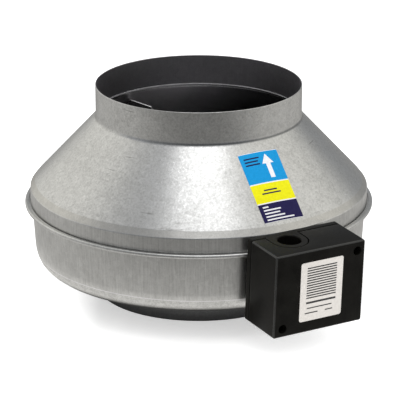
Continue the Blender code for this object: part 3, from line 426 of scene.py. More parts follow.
# The arms' sheared edges, made light where they face up: partly the bare cut edge, partly a painted
# highlight.
CUT_EDGE_HIGHLIGHT = machined("sheared_edge_painted_highlight", rgb(0.60, 0.60, 0.60), rgb(0.85, 0.85, 0.85), 0.45, metallic=0.1)
PLAIN = {
    # the inner sheet parts take the darker copy, in painted shade
    "galvanised_steel": SHEET_INSIDE_SHADE,
    "impeller_steel": SHEET_INSIDE_SHADE,
    "black_paint": moulded("satin_black_paint", rgb(0.015, 0.015, 0.016), rgb(0.035, 0.035, 0.036), 0.38,
                           grain=700),
    "cast_aluminium": machined("cast_alloy", rgb(0.40, 0.41, 0.42), rgb(0.62, 0.63, 0.64), 0.48, 500),
    "core_steel": ridged("stacked_steel", rgb(0.16, 0.16, 0.17), rgb(0.36, 0.36, 0.37), 0.45,
                         (30, 30, 2400), 1, 0.1, (0.00005, 0.6)),
    "copper": ridged("enamelled_copper", rgb(0.30, 0.10, 0.04), rgb(0.75, 0.33, 0.15), 0.32,
                     (900, 900, 900), 2, 0.15, (0.0001, 0.8), metallic=0.9),
    "bright_steel": machined("ground_steel", rgb(0.55, 0.56, 0.57), rgb(0.75, 0.76, 0.77), 0.18),
    "zinc": machined("zinc_plate", rgb(0.48, 0.49, 0.47), rgb(0.70, 0.70, 0.68), 0.28),
    "black_plastic": BLACK_PLASTIC,
    "white_plastic": moulded("white_moulding", rgb(0.68, 0.68, 0.63), rgb(0.80, 0.80, 0.76), 0.42),
    "grey_plastic": moulded("grey_moulding", rgb(0.30, 0.31, 0.32), rgb(0.42, 0.43, 0.44), 0.45),
    "rubber": moulded("black_rubber", rgb(0.012, 0.012, 0.012), rgb(0.03, 0.03, 0.03), 0.65, 1200),
    "foam": foam(),
    "brass": machined("plain_brass", rgb(0.55, 0.38, 0.14), rgb(0.80, 0.60, 0.28), 0.26),
    "label_paper": printed("label_stock", (0.53, 0.505, 0.475)),
    "sticker_vinyl": printed("sticker_stock", (0.70, 0.70, 0.70), 0.35),
}
INK = {
    "grey": printed("grey_ink", (0.035, 0.035, 0.035)),
    "cyan": printed("cyan_ink", (0.0, 0.25, 0.56), 0.40),
    "yellow": printed("yellow_ink", (0.70, 0.67, 0.0), 0.40),
    "navy": printed("navy_ink", (0.008, 0.005, 0.055), 0.40),
    "white": printed("white_ink", (0.72, 0.72, 0.74), 0.40),
}


# ---- pieces


def shaded(data):
    data.shade_smooth()
    data.set_sharp_from_angle(angle=SHARP_ANGLE)


def piece(name, shape, materials, place=None):
    """A smooth shaded object from a bmesh, with its faces turned outwards."""
    bmesh.ops.recalc_face_normals(shape, faces=shape.faces[:])
    if place:
        bmesh.ops.transform(shape, matrix=place, verts=shape.verts[:])
    data = bpy.data.meshes.new(name)
    shape.to_mesh(data)
    shape.free()
    for material in materials:
        data.materials.append(material)
    shaded(data)
    made = bpy.data.objects.new(name, data)
    bpy.context.scene.collection.objects.link(made)
    return made


def goes_with(made, node):
    """The piece rides with a CAD node's body."""
    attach(made, BODY_OF[node])
    return made


def stands_for(made, node):
    """The piece takes a CAD node's place and body."""
    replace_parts(goes_with(made, node), node)
    return made


def combined(made, operation, *others):
    """Cuts or joins other objects into a piece, and removes them."""
    for other in others:
        modifier = made.modifiers.new("boolean", "BOOLEAN")
        modifier.operation = operation
        modifier.object = other
    graph = bpy.context.evaluated_depsgraph_get()
    data = bpy.data.meshes.new_from_object(made.evaluated_get(graph))
    made.modifiers.clear()
    made.data = data
    for other in others:
        bpy.data.objects.remove(other)
    shaded(data)
    return made


def local_points(node, place=Matrix()):
    back = place.inverted()
    return [back @ vert.co for vert in frame["nodes"][node].data.vertices]


def local_box(node, place=Matrix()):
    points = local_points(node, place)
    low = Vector([min(p[i] for p in points) for i in range(3)])
    high = Vector([max(p[i] for p in points) for i in range(3)])
    return low, high


def middle_of(node, place=Matrix()):
    low, high = local_box(node, place)
    return (low.x + high.x) / 2, (low.y + high.y) / 2


def frame_at(node, place=Matrix()):
    """A frame whose Z runs along the given one's, through the middle of a node."""
    return place @ Matrix.Translation((*middle_of(node, place), 0))


# ---- turned pieces


def section(node, place=Matrix()):
    """A turned CAD node's outline where it crosses the half plane X > 0, Y = 0, as (radius, height)."""
    keys = [
        (max(round(p.x, 6), 0.0), round(p.z, 6)) if abs(p.y) < SAME and p.x > -SAME else None
        for p in local_points(node, place)
    ]
    links = {}
    for edge in frame["nodes"][node].data.edges:
        one, other = (keys[i] for i in edge.vertices)
        if one and other and one != other:
            links.setdefault(one, set()).add(other)
            links.setdefault(other, set()).add(one)
    links = {point: near for point, near in links.items() if point[0] > 0 or any(p[0] > 0 for p in near)}
    ends = [point for point in links if point[0] == 0]
    walk = [min(ends or links, key=lambda point: point[1])]
    while True:
        following = [p for p in sorted(links[walk[-1]]) if p not in walk]
        if not following:
            break
        walk.append(following[-1])
    outline = [Vector(point) for point in walk]
    area = sum(a.x * b.y - b.x * a.y for a, b in zip(outline, outline[1:] + outline[:1]))
    return outline if area > 0 else outline[::-1]


def corner_arc(corner, back, on, radius):
    """Points round a corner, with one more just outside each end so that the flats stay flat."""
    half = back.angle(on) / 2
    reach = radius / math.tan(half)
    back_way, on_way = back.normalized(), on.normalized()
    centre = corner + (back_way + on_way).normalized() * (radius / math.sin(half))
    start, end = corner + back_way * reach, corner + on_way * reach
    sweep = math.pi - 2 * half
    steps = max(2, round(math.degrees(sweep) / ARC_STEP))
    arc = []
    for k in range(steps + 1):
        turn = sweep * k / steps
        way = (start - centre) * math.sin(sweep - turn) + (end - centre) * math.sin(turn)
        arc.append(centre + way / math.sin(sweep))
    if back.length - reach > 3 * ARC_MARGIN:
        arc.insert(0, start + back_way * ARC_MARGIN)
    if on.length - reach > 3 * ARC_MARGIN:
        arc.append(end + on_way * ARC_MARGIN)
    return arc


def rounded(outline, bend=BEND, thick=SHEET):
    """The outline with its corners rounded, more outside a bend than inside, and its curves made smooth."""
    made = []
    for before, corner, after in zip(outline[-1:] + outline, outline, outline[1:] + outline):
        back, on = before - corner, after - corner
        turn = math.pi - back.angle(on)
        if corner.x == 0 or turn < STRAIGHT_TURN:
            made.append(corner)
            continue
        convex = back.x * on.y - back.y * on.x < 0
        limit = LONGEST_ARC * min(back.length, on.length) / math.tan(turn / 2)
        curve = CURVE_TURNS[0] < turn < CURVE_TURNS[1]
        radius = limit if curve else min(bend + thick if convex else bend, limit)
        made += corner_arc(corner, back, on, radius)
    return made


def revolved(outline, sides, material_of=None):
    """A closed outline turned about Z, with a material index for each face from its height and radius."""
    shape = bmesh.new()
    rings = []
    for point in outline:
        around = circle(point.x, sides) if point.x > 1e-7 else [(0, 0)]
        rings.append([shape.verts.new((x, y, point.y)) for x, y in around])
    for one, other in zip(rings, rings[1:] + rings[:1]):
        if len(one) == len(other) == 1:
            continue
        middle = (one[0].co + other[0].co) / 2
        zone = material_of(middle.x, middle.z) if material_of else 0
        for k in range(sides):
            corners = [one[k % len(one)], one[(k + 1) % len(one)]]
            corners += [other[(k + 1) % len(other)], other[k % len(other)]]
            shape.faces.new(list(dict.fromkeys(corners))).material_index = zone
    return shape


def turned_piece(node, sides, bend, thick, place=Matrix()):
    """A smooth version of a turned CAD node, which it replaces."""
    shape = revolved(rounded(section(node, place), bend, thick), sides)
    return stands_for(piece(f"{node}_surface", shape, [PLAIN[SLOT_OF[node]]], place), node)


def outlet_line():
    """The outlet shell's outline, with the crease under its cone raised a little so that it shows."""
    low, high = CREASE_SPAN
    lift = Vector((CREASE_LIFT, CREASE_LIFT))
    return [p + lift if low < p.y < high and p.x > CREASE_RADIUS else p for p in section("outlet_shell")]


def cone_ends():
    """The outer ends of the straight part of the cone, top and bottom, as (radius, height)."""
    outline = outlet_line()
    edges = zip(outline, outline[1:] + outline[:1])
    slanted = [(a, b) for a, b in edges if min(abs(a.y - b.y), abs(a.x - b.x)) > CONE_SPAN]
    outer = max(slanted, key=lambda edge: edge[0].x + edge[1].x + edge[0].y + edge[1].y)
    return sorted(outer, key=lambda point: -point.y)


CONE_TOP, CONE_FOOT = cone_ends()
CONE_SLOPE = (CONE_FOOT.x - CONE_TOP.x) / (CONE_TOP.y - CONE_FOOT.y)


def outlet_zone(radius, height):
    """Outside 0 on the collar and cone, 1 on the wall and 3 on the sloped band. Inside, in painted shade, 2
    on the collar, 4 on the rolled line's painted highlight and 5 under it, with painted light and shade
    across."""
    if radius > CONE_FOOT.x + ZONE_MARGIN:
        return 3 if height > CREASE_SPAN[0] else 1
    if height > CONE_TOP.y:
        outside = radius > CONE_TOP.x - COLLAR_STEP
    else:
        outside = radius > CONE_TOP.x + (CONE_TOP.y - height) * CONE_SLOPE - SHEET / 2
    if outside:
        return 0
    over = height - CONE_TOP.y
    return 5 if over < INNER_LINE[0] else 4 if over < INNER_LINE[1] else 2


def split_at(outline, height):
    """The outline with one more point wherever it crosses a height."""
    made = []
    for start, end in zip(outline, outline[1:] + outline[:1]):
        made.append(start)
        if (start.y - height) * (end.y - height) < 0:
            made.append(start + (end - start) * ((height - start.y) / (end.y - start.y)))
    return made


def make_outlet_shell():
    outline = rounded(outlet_line())
    for over in INNER_LINE:
        outline = split_at(outline, CONE_TOP.y + over)
    shape = revolved(outline, ROUND_LARGE, outlet_zone)
    zones = [SHEET_FACE, SHEET_WALL, SHEET_INSIDE_SHADE, SHEET_BAND, ROLLED_LINE_HIGHLIGHT, SHEET_DEEP_LIGHT_AND_SHADE]
    stands_for(piece("outlet_shell_surface", shape, zones), "outlet_shell")


def make_inlet_shell():
    low, high = SHOULDER_LINE

    # 0 below the line on the shoulder, 2 on the painted highlight line, 1 above it, and 3 on the foot collar
    # in painted shade
    def zone(radius, height):
        if radius < FOOT_RADIUS:
            return 3
        return 0 if height < low else 2 if height < high else 1

    outline = split_at(split_at(rounded(section("inlet_shell")), low), high)
    shape = revolved(outline, ROUND_LARGE, zone)
    zones = [SHEET_FACE, SHEET_WALL, SHEET_SHOULDER_HIGHLIGHT, SHEET_FOOT_SHADE]
    stands_for(piece("inlet_shell_surface", shape, zones), "inlet_shell")


# ---- flat shapes


def rounded_rectangle(low, high, corner=0.0, steps=6):
    """A rectangle, counter-clockwise, with rounded corners if they have a radius."""
    (left, foot), (right, top) = low, high
    if not corner:
        return [(left, foot), (right, foot), (right, top), (left, top)]
    inner = rounded_rectangle((left + corner, foot + corner), (right - corner, top - corner))
    made = []
    for quarter, (x, y) in enumerate(inner[1:] + inner[:1], -1):
        for k in range(steps + 1):
            turn = math.pi / 2 * (quarter + k / steps)
            made.append((x + corner * math.cos(turn), y + corner * math.sin(turn)))
    return made


def circle(radius, sides=ROUND_HOLE, centre=(0, 0)):
    angles = [2 * math.pi * k / sides for k in range(sides)]
    return [(centre[0] + radius * math.cos(a), centre[1] + radius * math.sin(a)) for a in angles]


def tongue_outline(radius, deepest, steps=24):
    """The conduit tongue: straight sides and a half round end, as (side, depth) points."""
    side, depth = CONDUIT_AT
    bend = [math.pi * k / steps for k in range(steps + 1)]
    nose = [(side - radius * math.cos(a), depth - radius * math.sin(a)) for a in bend]
    return [(side - radius, deepest), *nose, (side + radius, deepest)]


def closed(rings, shape=None):
    """A closed solid through rings of as many points each, added to a shape if one is given."""
    shape = shape or bmesh.new()
    rings = [[shape.verts.new(point) for point in ring] for ring in rings]
    count = len(rings[0])
    for one, other in zip(rings, rings[1:]):
        for k in range(count):
            shape.faces.new((one[k], one[(k + 1) % count], other[(k + 1) % count], other[k]))
    shape.faces.new(rings[0])
    shape.faces.new(rings[-1])
    return shape


def loft(*outlines, shape=None):
    """A closed solid through flat outlines, given as (outline, height) pairs."""
    return closed([[(x, y, height) for x, y in outline] for outline, height in outlines], shape)


def prism(outline, low, high):
    return loft((outline, low), (outline, high))


def post(centre, radius, low, high, sides=ROUND_HOLE):
    return prism(circle(radius, sides, centre), low, high)


def upright(shape):
    """Turns a prism of (side, depth) points so that it rises along the terminal box's Y."""
    bmesh.ops.transform(shape, matrix=Matrix.Rotation(-math.pi / 2, 4, "X"), verts=shape.verts[:])
    return shape


def tool(shape, place):
    """A solid for cutting or joining, which doesn't stay in the scene."""
    return piece("tool", shape, [], place)


# ---- terminal box


def terminal_box_frame():
    """X to the side, Y up the cover, Z straight out of it, from the cover's lower front edge."""
    lift = next(j for j in RECORD["behaviour"]["joints"] if j["name"] == "cover_lift")
    out = Vector(lift["axis"]).normalized()
    side = Vector((1, 0, 0))
    up = out.cross(side)
    points = [vert.co for vert in frame["nodes"]["box_cover"].data.vertices]
    origin = out * max(p.dot(out) for p in points) + up * min(p.dot(up) for p in points)
    return Matrix([[side[i], up[i], out[i], origin[i]] for i in range(3)] + [[0, 0, 0, 1]])


BOX = terminal_box_frame()
BOX_LOW, BOX_HIGH = local_box("box_cover", BOX)
BOX_DEPTH = -local_box("box_base", BOX)[0].z


def box_outline(inset):
    corner = max(BOX_CORNER - inset, LEAST_CORNER)
    low, high = BOX_LOW.xy, BOX_HIGH.xy
    return rounded_rectangle((low.x + inset, low.y + inset), (high.x - inset, high.y - inset), corner)


def edge_rings(low, high, round_low, round_high, steps=4):
    """The box's outline from one depth to the other, with its edges rounded at both ends."""
    rings = []
    for height, radius, way in ((low, round_low, 1), (high, round_high, -1)):
        ring = []
        for k in range(steps + 1):
            turn = math.pi / 2 * k / steps
            inset = radius * (1 - math.sin(turn))
            ring.append((box_outline(inset), height + way * radius * (1 - math.cos(turn))))
        rings.append(ring)
    return rings[0] + rings[1][::-1]


def hole(spot, radius, deep, shallow, mouth=0.0):
    """A round cutter between two depths, with a chamfer at its shallow end if it has a mouth."""
    outlines = [(circle(radius, centre=spot), -deep)]
    if mouth:
        outlines.append((circle(radius, centre=spot), -shallow - mouth - PAST))
        radius += mouth + PAST
    return loft(*outlines, (circle(radius, centre=spot), -shallow))


def make_cover():
    shape = loft(*edge_rings(-COVER_DEPTH, 0.0, RIM_ROUND, EDGE_ROUND))
    cover = piece("box_cover_surface", shape, [BLACK_PLASTIC, BLACK_EDGE_HIGHLIGHT], BOX)
    # faces of the rounded edges take the lighter edge finish, a painted highlight
    for face in cover.data.polygons:
        if max(abs(face.normal.dot(BOX.col[k].xyz)) for k in range(3)) < SQUARE_ON:
            face.material_index = 1
    spots = [middle_of(node, BOX) for node in ("cover_screw_1", "cover_screw_2")]
    cavity = prism(box_outline(BOX_WALL), -COVER_DEPTH - PAST, -BOX_WALL)
    combined(cover, "DIFFERENCE", tool(cavity, BOX))
    wells = [tool(post(spot, WELL_RADIUS, -COVER_DEPTH, -BOX_WALL / 2), BOX) for spot in spots]
    combined(cover, "UNION", *wells)
    top = BOX_HIGH.y
    outline = tongue_outline(TONGUE_RADIUS + NOTCH_GAP, COVER_DEPTH + 2 * PAST)
    cutters = [upright(prism(outline, top - BOX_WALL - PAST, top + PAST))]
    for spot in spots:
        cutters.append(hole(spot, RECESS_RADIUS, RECESS_DEPTH, -PAST, RECESS_MOUTH))
        cutters.append(hole(spot, THREAD_RADIUS, COVER_DEPTH + PAST, RECESS_DEPTH - PAST))
    stands_for(combined(cover, "DIFFERENCE", *[tool(made, BOX) for made in cutters]), "box_cover")


def seam_cutter():
    """A ring that clears the housing's seam where it passes through the box."""
    seam = section("outlet_shell")
    lip = max(point.x for point in seam) + SEAM_GAP
    heights = [point.y for point in section("inlet_shell") + seam if point.x > lip - SEAM_REACH]
    low, high = min(heights) - SEAM_GAP, max(heights) + SEAM_GAP
    ring = rounded_rectangle((lip - SEAM_DEPTH, low), (lip, high))
    return tool(revolved([Vector(point) for point in ring], ROUND_LARGE), Matrix())


def make_base():
    shape = loft(*edge_rings(-BOX_DEPTH, -BASE_RIM, BACK_ROUND, RIM_ROUND))
    base = piece("box_base_surface", shape, [BLACK_PLASTIC], BOX)
    floor, top = BOX_DEPTH - BOX_BACK, BOX_HIGH.y
    cavity = prism(box_outline(BOX_WALL), -floor, -BASE_RIM + 2 * PAST)
    combined(base, "DIFFERENCE", tool(cavity, BOX))
    under = top - BOX_BACK
    outline = tongue_outline(TONGUE_RADIUS, BASE_RIM + PAST)
    edge = tongue_outline(TONGUE_RADIUS - TONGUE_EDGE, BASE_RIM + PAST)
    tongue = upright(loft((outline, under), (outline, top - TONGUE_EDGE_DEPTH), (edge, top)))
    collar = upright(prism(circle(CONDUIT_COLLAR, centre=CONDUIT_AT), top - COLLAR_DROP, under + PAST))
    threads = [middle_of(node, BOX) for node in ("cover_screw_1", "cover_screw_2", "ground_screw")]
    posts = [post(spot, POST_RADIUS, -floor - PAST, -BASE_RIM) for spot in threads]
    combined(base, "UNION", *[tool(made, BOX) for made in (tongue, collar, *posts)])
    conduit = circle(CONDUIT_RADIUS, centre=CONDUIT_AT)
    mouth = circle(CONDUIT_RADIUS + CONDUIT_MOUTH, centre=CONDUIT_AT)
    cutters = [upright(loft((conduit, top - COLLAR_DROP - 2 * PAST), (conduit, top - CONDUIT_MOUTH_DEPTH),
                            (mouth, top + PAST)))]
    cutters += [hole(spot, THREAD_RADIUS, BOX_DEPTH - PAST, BASE_RIM - PAST) for spot in threads]
    for node, radius in (("box_screw_1", THREAD_RADIUS), ("box_screw_2", THREAD_RADIUS),
                         ("cable_grommet", LEAD_OPENING)):
        cutters.append(hole(middle_of(node, BOX), radius, BOX_DEPTH + PAST, BASE_RIM))
    cutters = [tool(made, BOX) for made in cutters]
    cutters.insert(1, seam_cutter())
    stands_for(combined(base, "DIFFERENCE", *cutters), "box_base")


def printed_bars(low, high):
    """A generic print: a square of level lines, and plain rules under it."""
    middle = (low.x + high.x) / 2
    foot, step = high.y - PANEL_DROP - 2 * PANEL_HALF, 2 * PANEL_HALF / PANEL_LINES
    bars = [(foot + step * (k + LINE_START), -PANEL_HALF, PANEL_HALF, step * LINE_SHARE)
            for k in range(PANEL_LINES)]
    bars += [(low.y + over, *rest) for over, *rest in LABEL_RULES]
    return [rounded_rectangle((middle + left, y), (middle + right, y + thick))
            for y, left, right, thick in bars]


def make_label():
    low, high = local_box("box_label", BOX)
    outline = rounded_rectangle(low.xy, high.xy, LABEL_CORNER)
    rim = rounded_rectangle([c + LABEL_EDGE for c in low.xy], [c - LABEL_EDGE for c in high.xy], LABEL_CORNER)
    sheet = loft((outline, low.z), (outline, high.z - PRINT_LIFT - LABEL_EDGE), (rim, high.z - PRINT_LIFT))
    stands_for(piece("box_label_sheet", sheet, [PLAIN["label_paper"]], BOX), "box_label")
    bars = bmesh.new()
    for outline in printed_bars(low, high):
        loft((outline, high.z - 2 * PRINT_LIFT), (outline, high.z), shape=bars)
    goes_with(piece("box_label_print", bars, [INK["grey"]], BOX), "box_label")


# ---- airflow sticker


CONE_TURN = math.atan(CONE_SLOPE)  # between the cone's side and its axis
CONE_APEX = CONE_FOOT.y + CONE_FOOT.x / CONE_SLOPE


def on_cone(across, along, lift):
    """A point of the cone laid out flat, where along is counted from the cone's apex."""
    reach = math.hypot(across, along)
    turn = math.atan2(across, along) / math.sin(CONE_TURN)
    radius = reach * math.sin(CONE_TURN) + lift * math.cos(CONE_TURN)
    height = CONE_APEX - reach * math.cos(CONE_TURN) + lift * math.sin(CONE_TURN)
    return Vector((radius * math.sin(turn), -radius * math.cos(turn), height))


def laid_flat(point):
    turn = math.atan2(point.x, -point.y) * math.sin(CONE_TURN)
    reach = (CONE_APEX - point.z) / math.cos(CONE_TURN)
    return reach * math.sin(turn), reach * math.cos(turn)


def cone_patch(rows, low, high, columns=12):
    """A thin patch on the cone through rows of (along, left, right). A face's material is its row."""
    shape = bmesh.new()
    layers = []
    for lift in (low, high):
        grid = []
        for along, left, right in rows:
            steps = [left + (right - left) * k / columns for k in range(columns + 1)]
            grid.append([shape.verts.new(on_cone(across, along, lift)) for across in steps])
        layers.append(grid)
        for number, (one, other) in enumerate(zip(grid, grid[1:])):
            for k in range(columns):
                shape.faces.new((one[k], one[k + 1], other[k + 1], other[k])).material_index = number
    borders = []
    for grid in layers:
        sides = [grid[0], [row[-1] for row in grid], grid[-1][::-1], [row[0] for row in grid][::-1]]
        borders.append([vert for side in sides for vert in side[:-1]])
    one, other = borders
    for k, vert in enumerate(one):
        shape.faces.new((vert, one[k - 1], other[k - 1], other[k]))
    return shape


def make_sticker():
    points = [laid_flat(vert.co) for vert in frame["nodes"]["airflow_sticker"].data.vertices]
    left, right = min(p[0] for p in points), max(p[0] for p in points)
    top, foot = min(p[1] for p in points), max(p[1] for p in points)
    length = foot - top
    rows, inks = [], []
    for (start, ink), (end, _) in zip(STICKER_BANDS, STICKER_BANDS[1:] + ((1.0, None),)):
        parts = max(1, round((end - start) * STICKER_ROWS))
        for k in range(parts):
            rows.append((top + length * (start + (end - start) * k / parts), left, right))
            inks.append(ink)
    rows.append((foot, left, right))
    shape = cone_patch(rows, *STICKER_SPAN, STICKER_COLUMNS)
    order = list(INK)
    for face in shape.faces:
        face.material_index = order.index(inks[face.material_index])
    stands_for(piece("airflow_sticker_sheet", shape, [INK[name] for name in order]), "airflow_sticker")
    across, along = left + ARROW_ACROSS, top + length * ARROW_DOWN
    arrow = [(along + at, across - half, across + half) for at, half in ARROW]
    sticker_print("airflow_arrow", arrow, "white")
    for name, ink, share, bars in STICKER_RULES:
        for k, (start, end) in enumerate(bars):
            along = top + length * (share + RULE_STEP * k)
            row = [(along + at, left + start, left + end) for at in (0, RULE_THICK)]
            sticker_print(f"{name}_{k + 1}", row, ink)


def sticker_print(name, rows, ink):
    shape = cone_patch(rows, *PRINT_SPAN)
    for face in shape.faces:
        face.material_index = 0
    goes_with(piece(name, shape, [INK[ink]]), "airflow_sticker")


# ---- small pieces


def make_screw(node, lying=Matrix()):
    """A screw with two crossed bars cut out of its head."""
    place = frame_at(node, lying)
    outline = section(node, place)
    top = max(p.y for p in outline)
    radius = max(p.x for p in outline)
    seat = min(p.y for p in outline if abs(p.x - radius) < SAME)
    foot = top - (top - seat) * CROSS_DEPTH
    half, reach = radius * CROSS_ARM, radius * CROSS_REACH
    bars = [prism(rounded_rectangle((-x, -y), (x, y)), foot, top + PAST)
            for x, y in ((reach, half), (half, reach))]
    made = turned_piece(node, ROUND_SMALL, FINE_BEND, FINE_BEND, place)
    combined(made, "DIFFERENCE", *[tool(bar, place) for bar in bars])


def softened(node, width, segments=2, material=None, corner=30):
    """A CAD node's own shape with its edges rounded off."""
    shape = bmesh.new()
    shape.from_mesh(frame["nodes"][node].data)
    bmesh.ops.remove_doubles(shape, verts=shape.verts[:], dist=1e-6)
    bmesh.ops.dissolve_limit(shape, angle_limit=math.radians(1), verts=shape.verts[:], edges=shape.edges[:])
    sharp = [edge for edge in shape.edges
             if edge.is_manifold and edge.calc_face_angle() > math.radians(corner)]
    bmesh.ops.bevel(shape, geom=sharp, offset=width, segments=segments, profile=0.5, affect="EDGES",
                    clamp_overlap=True)
    made = piece(f"{node}_surface", shape, [material or PLAIN[SLOT_OF[node]]])
    return stands_for(made, node)


def motor_screw_posts(radius, low, high):
    """A round solid on each motor screw's axis, for cutting or joining."""
    return [tool(post(middle_of(node), radius, low, high), Matrix()) for node in MOTOR_SCREWS]


def make_motor_plate():
    plate = turned_piece("motor_plate", ROUND_MEDIUM, FINE_BEND, FINE_BEND)
    low, high = local_box("motor_plate")
    combined(plate, "DIFFERENCE", *motor_screw_posts(MOTOR_SCREW_HOLE, low.z - PAST, high.z + PAST))


def make_stator_base():
    outline = section("stator_base")
    rim = max(p.x for p in outline) - PAST
    low = min(p.y for p in outline if p.x > rim)
    high = local_box("stator_base")[1].z
    base = turned_piece("stator_base", ROUND_MEDIUM, CAST_EDGE, CAST_EDGE)
    combined(base, "UNION", *motor_screw_posts(BOSS_RADIUS, low + PAST, high))
    holes = motor_screw_posts(MOTOR_SCREW_HOLE, low + BOSS_FLOOR, high + PAST)
    holes.append(tool(post(LEAD_HOLE_AT, LEAD_HOLE_RADIUS, low - PAST, high + PAST), Matrix()))
    combined(base, "DIFFERENCE", *holes)


def make_capacitor():
    low, high = local_box("capacitor", BOX)
    middle = (low + high) / 2
    lying = BOX @ Matrix.Translation((0, middle.y, middle.z)) @ Matrix.Rotation(math.pi / 2, 4, "Y")
    turned_piece("capacitor", ROUND_MEDIUM, CAN_EDGE, 0.0, lying)


def make_arm(node):
    """A sheet arm in painted shade, with a painted highlight on the sheared edge along its top."""
    made = softened(node, FINE_BEND, material=SHEET_ARM_SHADE)
    made.data.materials.append(CUT_EDGE_HIGHLIGHT)
    top = max(vert.co.z for vert in made.data.vertices)
    for face in made.data.polygons:
        if face.normal.z > ARM_EDGE_TILT and face.center.z > top - ARM_EDGE:
            face.material_index = 1


# ---- impeller


def blade_stations():
    """The first blade's stations outwards, each with its two foot corners and its two top corners."""
    points = {tuple(round(c, 6) for c in point) for point in local_points("impeller_blade_1")}
    points = sorted((Vector(point) for point in points), key=lambda p: p.xy.length)
    top = max(p.z for p in points)
    levels = []
    for is_top in (False, True):
        level = [p for p in points if (p.z > top - BLADE_SLOPE) == is_top]
        levels.append([sorted(level[k:k + 2], key=lambda p: math.atan2(p.y, p.x))
                       for k in range(0, len(level), 2)])
    return [feet + heads[::-1] for feet, heads in zip(*levels)]


def eased(points):
    """A smooth line through the points."""
    line = []
    last = len(points) - 1
    for k in range(last):
        start, end = points[k], points[k + 1]
        way = (end - points[k - 1]) * 0.5 if k else end - start
        way_on = (points[k + 2] - start) * 0.5 if k + 1 < last else end - start
        for t in [step / BLADE_STEPS for step in range(BLADE_STEPS)]:
            line.append(start * (2 * t**3 - 3 * t**2 + 1) + way * (t**3 - 2 * t**2 + t)
                        + end * (3 * t**2 - 2 * t**3) + way_on * (t**3 - t**2))
    return line + [points[-1]]


def make_blades():
    corners = [eased(line) for line in zip(*blade_stations())]
    for number in range(BLADES):
        node = f"impeller_blade_{number + 1}"
        turn = Matrix.Rotation(2 * math.pi * number / BLADES, 4, "Z")
        stands_for(piece(f"{node}_surface", closed(zip(*corners)), [PLAIN["impeller_steel"]], turn), node)


# ---- scene


def aim(obj, at, target):
    obj.location = at
    obj.rotation_euler = (Vector(target) - Vector(at)).to_track_quat("-Z", "Y").to_euler()


def make_camera():
    target = TO_SIDE * CAMERA_SIDE + Vector((0, 0, CAMERA_AIM))
    away = TO_FRONT * math.cos(CAMERA_ELEVATION) + Vector((0, 0, math.sin(CAMERA_ELEVATION)))
    camera = bpy.data.objects.new("camera", bpy.data.cameras.new("camera"))
    camera.data.lens = CAMERA_LENS
    camera.data.clip_start = 0.05
    camera.data.clip_end = 60
    bpy.context.scene.collection.objects.link(camera)
    aim(camera, target + away * CAMERA_DISTANCE, target)
    bpy.context.scene.camera = camera


def make_lamp():
    right, nearer, up = LAMP_AT
    lamp = bpy.data.lights.new("overhead_box", "AREA")
    lamp.shape = "RECTANGLE"
    lamp.size, lamp.size_y = LAMP_SIZE
    lamp.energy = LAMP_RADIANCE * math.pi * LAMP_SIZE[0] * LAMP_SIZE[1]
    obj = bpy.data.objects.new("overhead_box", lamp)
    bpy.context.scene.collection.objects.link(obj)
    aim(obj, TO_SIDE * right + TO_FRONT * nearer + Vector((0, 0, up)), LAMP_TARGET)
    obj.visible_camera = False


def plane(name, height, material):
    shape = bmesh.new()
    bmesh.ops.create_grid(shape, x_segments=1, y_segments=1, size=FLOOR_HALF)
    made = piece(name, shape, [material], Matrix.Translation((0, 0, height)))
    return made


def make_floor():
    """A pale floor, with painted light pooled where shadows would fall, and under it the card whose glow the
    metal reflects in its place.
    """
    made = Finish("pale_floor")
    shade = made.blend(made.noise(3.0, 2, 0.5), rgb(0.90, 0.90, 0.90), rgb(0.92, 0.92, 0.92))
    made.drive(shade, 0.9)
    made.feed(made.shader.inputs["Emission Color"], shade)
    rises = []
    for right, nearer, start, end in FLOOR_LIGHT_POOLS:
        along = made.vector("DOT_PRODUCT", made.place, TO_SIDE * right + TO_FRONT * nearer)
        rises.append(made.span(along, start, end, *FLOOR_GLOW))
    made.feed(made.shader.inputs["Emission Strength"], made.sum("MAXIMUM", *rises))
    floor = plane("floor", 0.0, made.material)
    floor.visible_glossy = False
    card = plane("floor_glow", -PAST, floor_glow())
    card.visible_camera = False
    card.visible_diffuse = False
    card.visible_shadow = False


def floor_glow():
    """Light from the floor: dark under the fan, bright beside it, and fading towards the camera."""
    made = Finish("floor_glow")
    away = made.vector("LENGTH", made.place)
    toward = made.vector("DOT_PRODUCT", made.vector("NORMALIZE", made.place), TO_FRONT)
    around, in_front, behind = [
        made.ramp(away, [(position, rgb(*[level * tint for tint in GLOW_TINT])) for position, level in stops])
        for stops in (GLOW_AROUND, GLOW_IN_FRONT, GLOW_BEHIND)
    ]
    to_front = made.span(toward, *FRONT_SPAN, 0.0, 1.0)
    to_back = made.span(toward, *BACK_SPAN, 0.0, 1.0)
    glow = made.node("ShaderNodeEmission")
    made.feed(glow.inputs["Color"], made.blend(to_back, made.blend(to_front, around, in_front), behind))
    made.feed(made.tree.nodes["Material Output"].inputs["Surface"], glow.outputs[0])
    return made.material


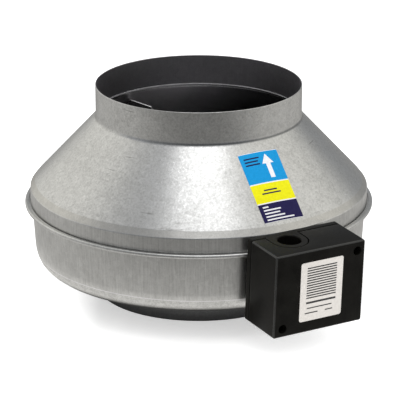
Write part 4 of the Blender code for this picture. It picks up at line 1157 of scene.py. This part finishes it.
def make_world():
    """A pale room. In reflections it is darker on the camera's side."""
    world = bpy.data.worlds.new("room")
    world.use_nodes = True
    bpy.context.scene.world = world
    made = Nodes(world.node_tree)
    even = made.tree.nodes["Background"]
    even.inputs["Color"].default_value = rgb(1.0, 1.0, 1.0)
    even.inputs["Strength"].default_value = ROOM_LIGHT
    way = TO_FRONT * math.cos(ROOM_TURN) - TO_SIDE * math.sin(ROOM_TURN)
    toward = made.vector("DOT_PRODUCT", made.node("ShaderNodeTexCoord").outputs["Generated"], way)
    reflected = made.node("ShaderNodeBackground")
    made.feed(reflected.inputs["Color"], made.ramp(made.span(toward, -1.0, 1.0, 0.0, 1.0), ROOM_REFLECTED))
    mix = made.node("ShaderNodeMixShader")
    made.feed(mix.inputs[0], made.node("ShaderNodeLightPath").outputs["Is Glossy Ray"])
    made.feed(mix.inputs[1], even.outputs[0])
    made.feed(mix.inputs[2], reflected.outputs[0])
    made.feed(made.tree.nodes["World Output"].inputs["Surface"], mix.outputs[0])


# ---- building


for node, obj in frame["nodes"].items():
    obj.data.materials.clear()
    obj.data.materials.append(PLAIN[SLOT_OF[node]])

make_outlet_shell()
make_inlet_shell()
for name, sides, bend, thick in TURNED:
    turned_piece(name, sides, bend, thick)
turned_piece("cable_grommet", ROUND_SMALL, SMALL_BEND, SMALL_BEND, frame_at("cable_grommet", BOX))
for number in (1, 2, 3):
    rivet = f"nozzle_rivet_{number}"
    turned_piece(rivet, ROUND_SMALL, SMALL_BEND, 0.0, frame_at(rivet))
    make_screw(f"motor_screw_{number}")
    make_screw(f"rotor_screw_{number}")
    make_screw(f"terminal_screw_{number}", BOX)
    make_arm(f"support_arm_{number}")
for name in ("cover_screw_1", "cover_screw_2", "box_screw_1", "box_screw_2", "ground_screw"):
    make_screw(name, BOX)
for name in ("balance_clip", "shaft_circlip", "capacitor_clip", "cover_gasket"):
    softened(name, THIN_EDGE)
for name in ("box_pad", "terminal_block"):
    softened(name, THICK_EDGE, 3)
make_blades()
make_motor_plate()
make_stator_base()
make_capacitor()
softened("motor_lead", THICK_EDGE, corner=20)
make_cover()
make_base()
make_label()
make_sticker()
make_floor()
make_world()
make_lamp()
make_camera()
bpy.context.scene.view_settings.view_transform = "Standard"
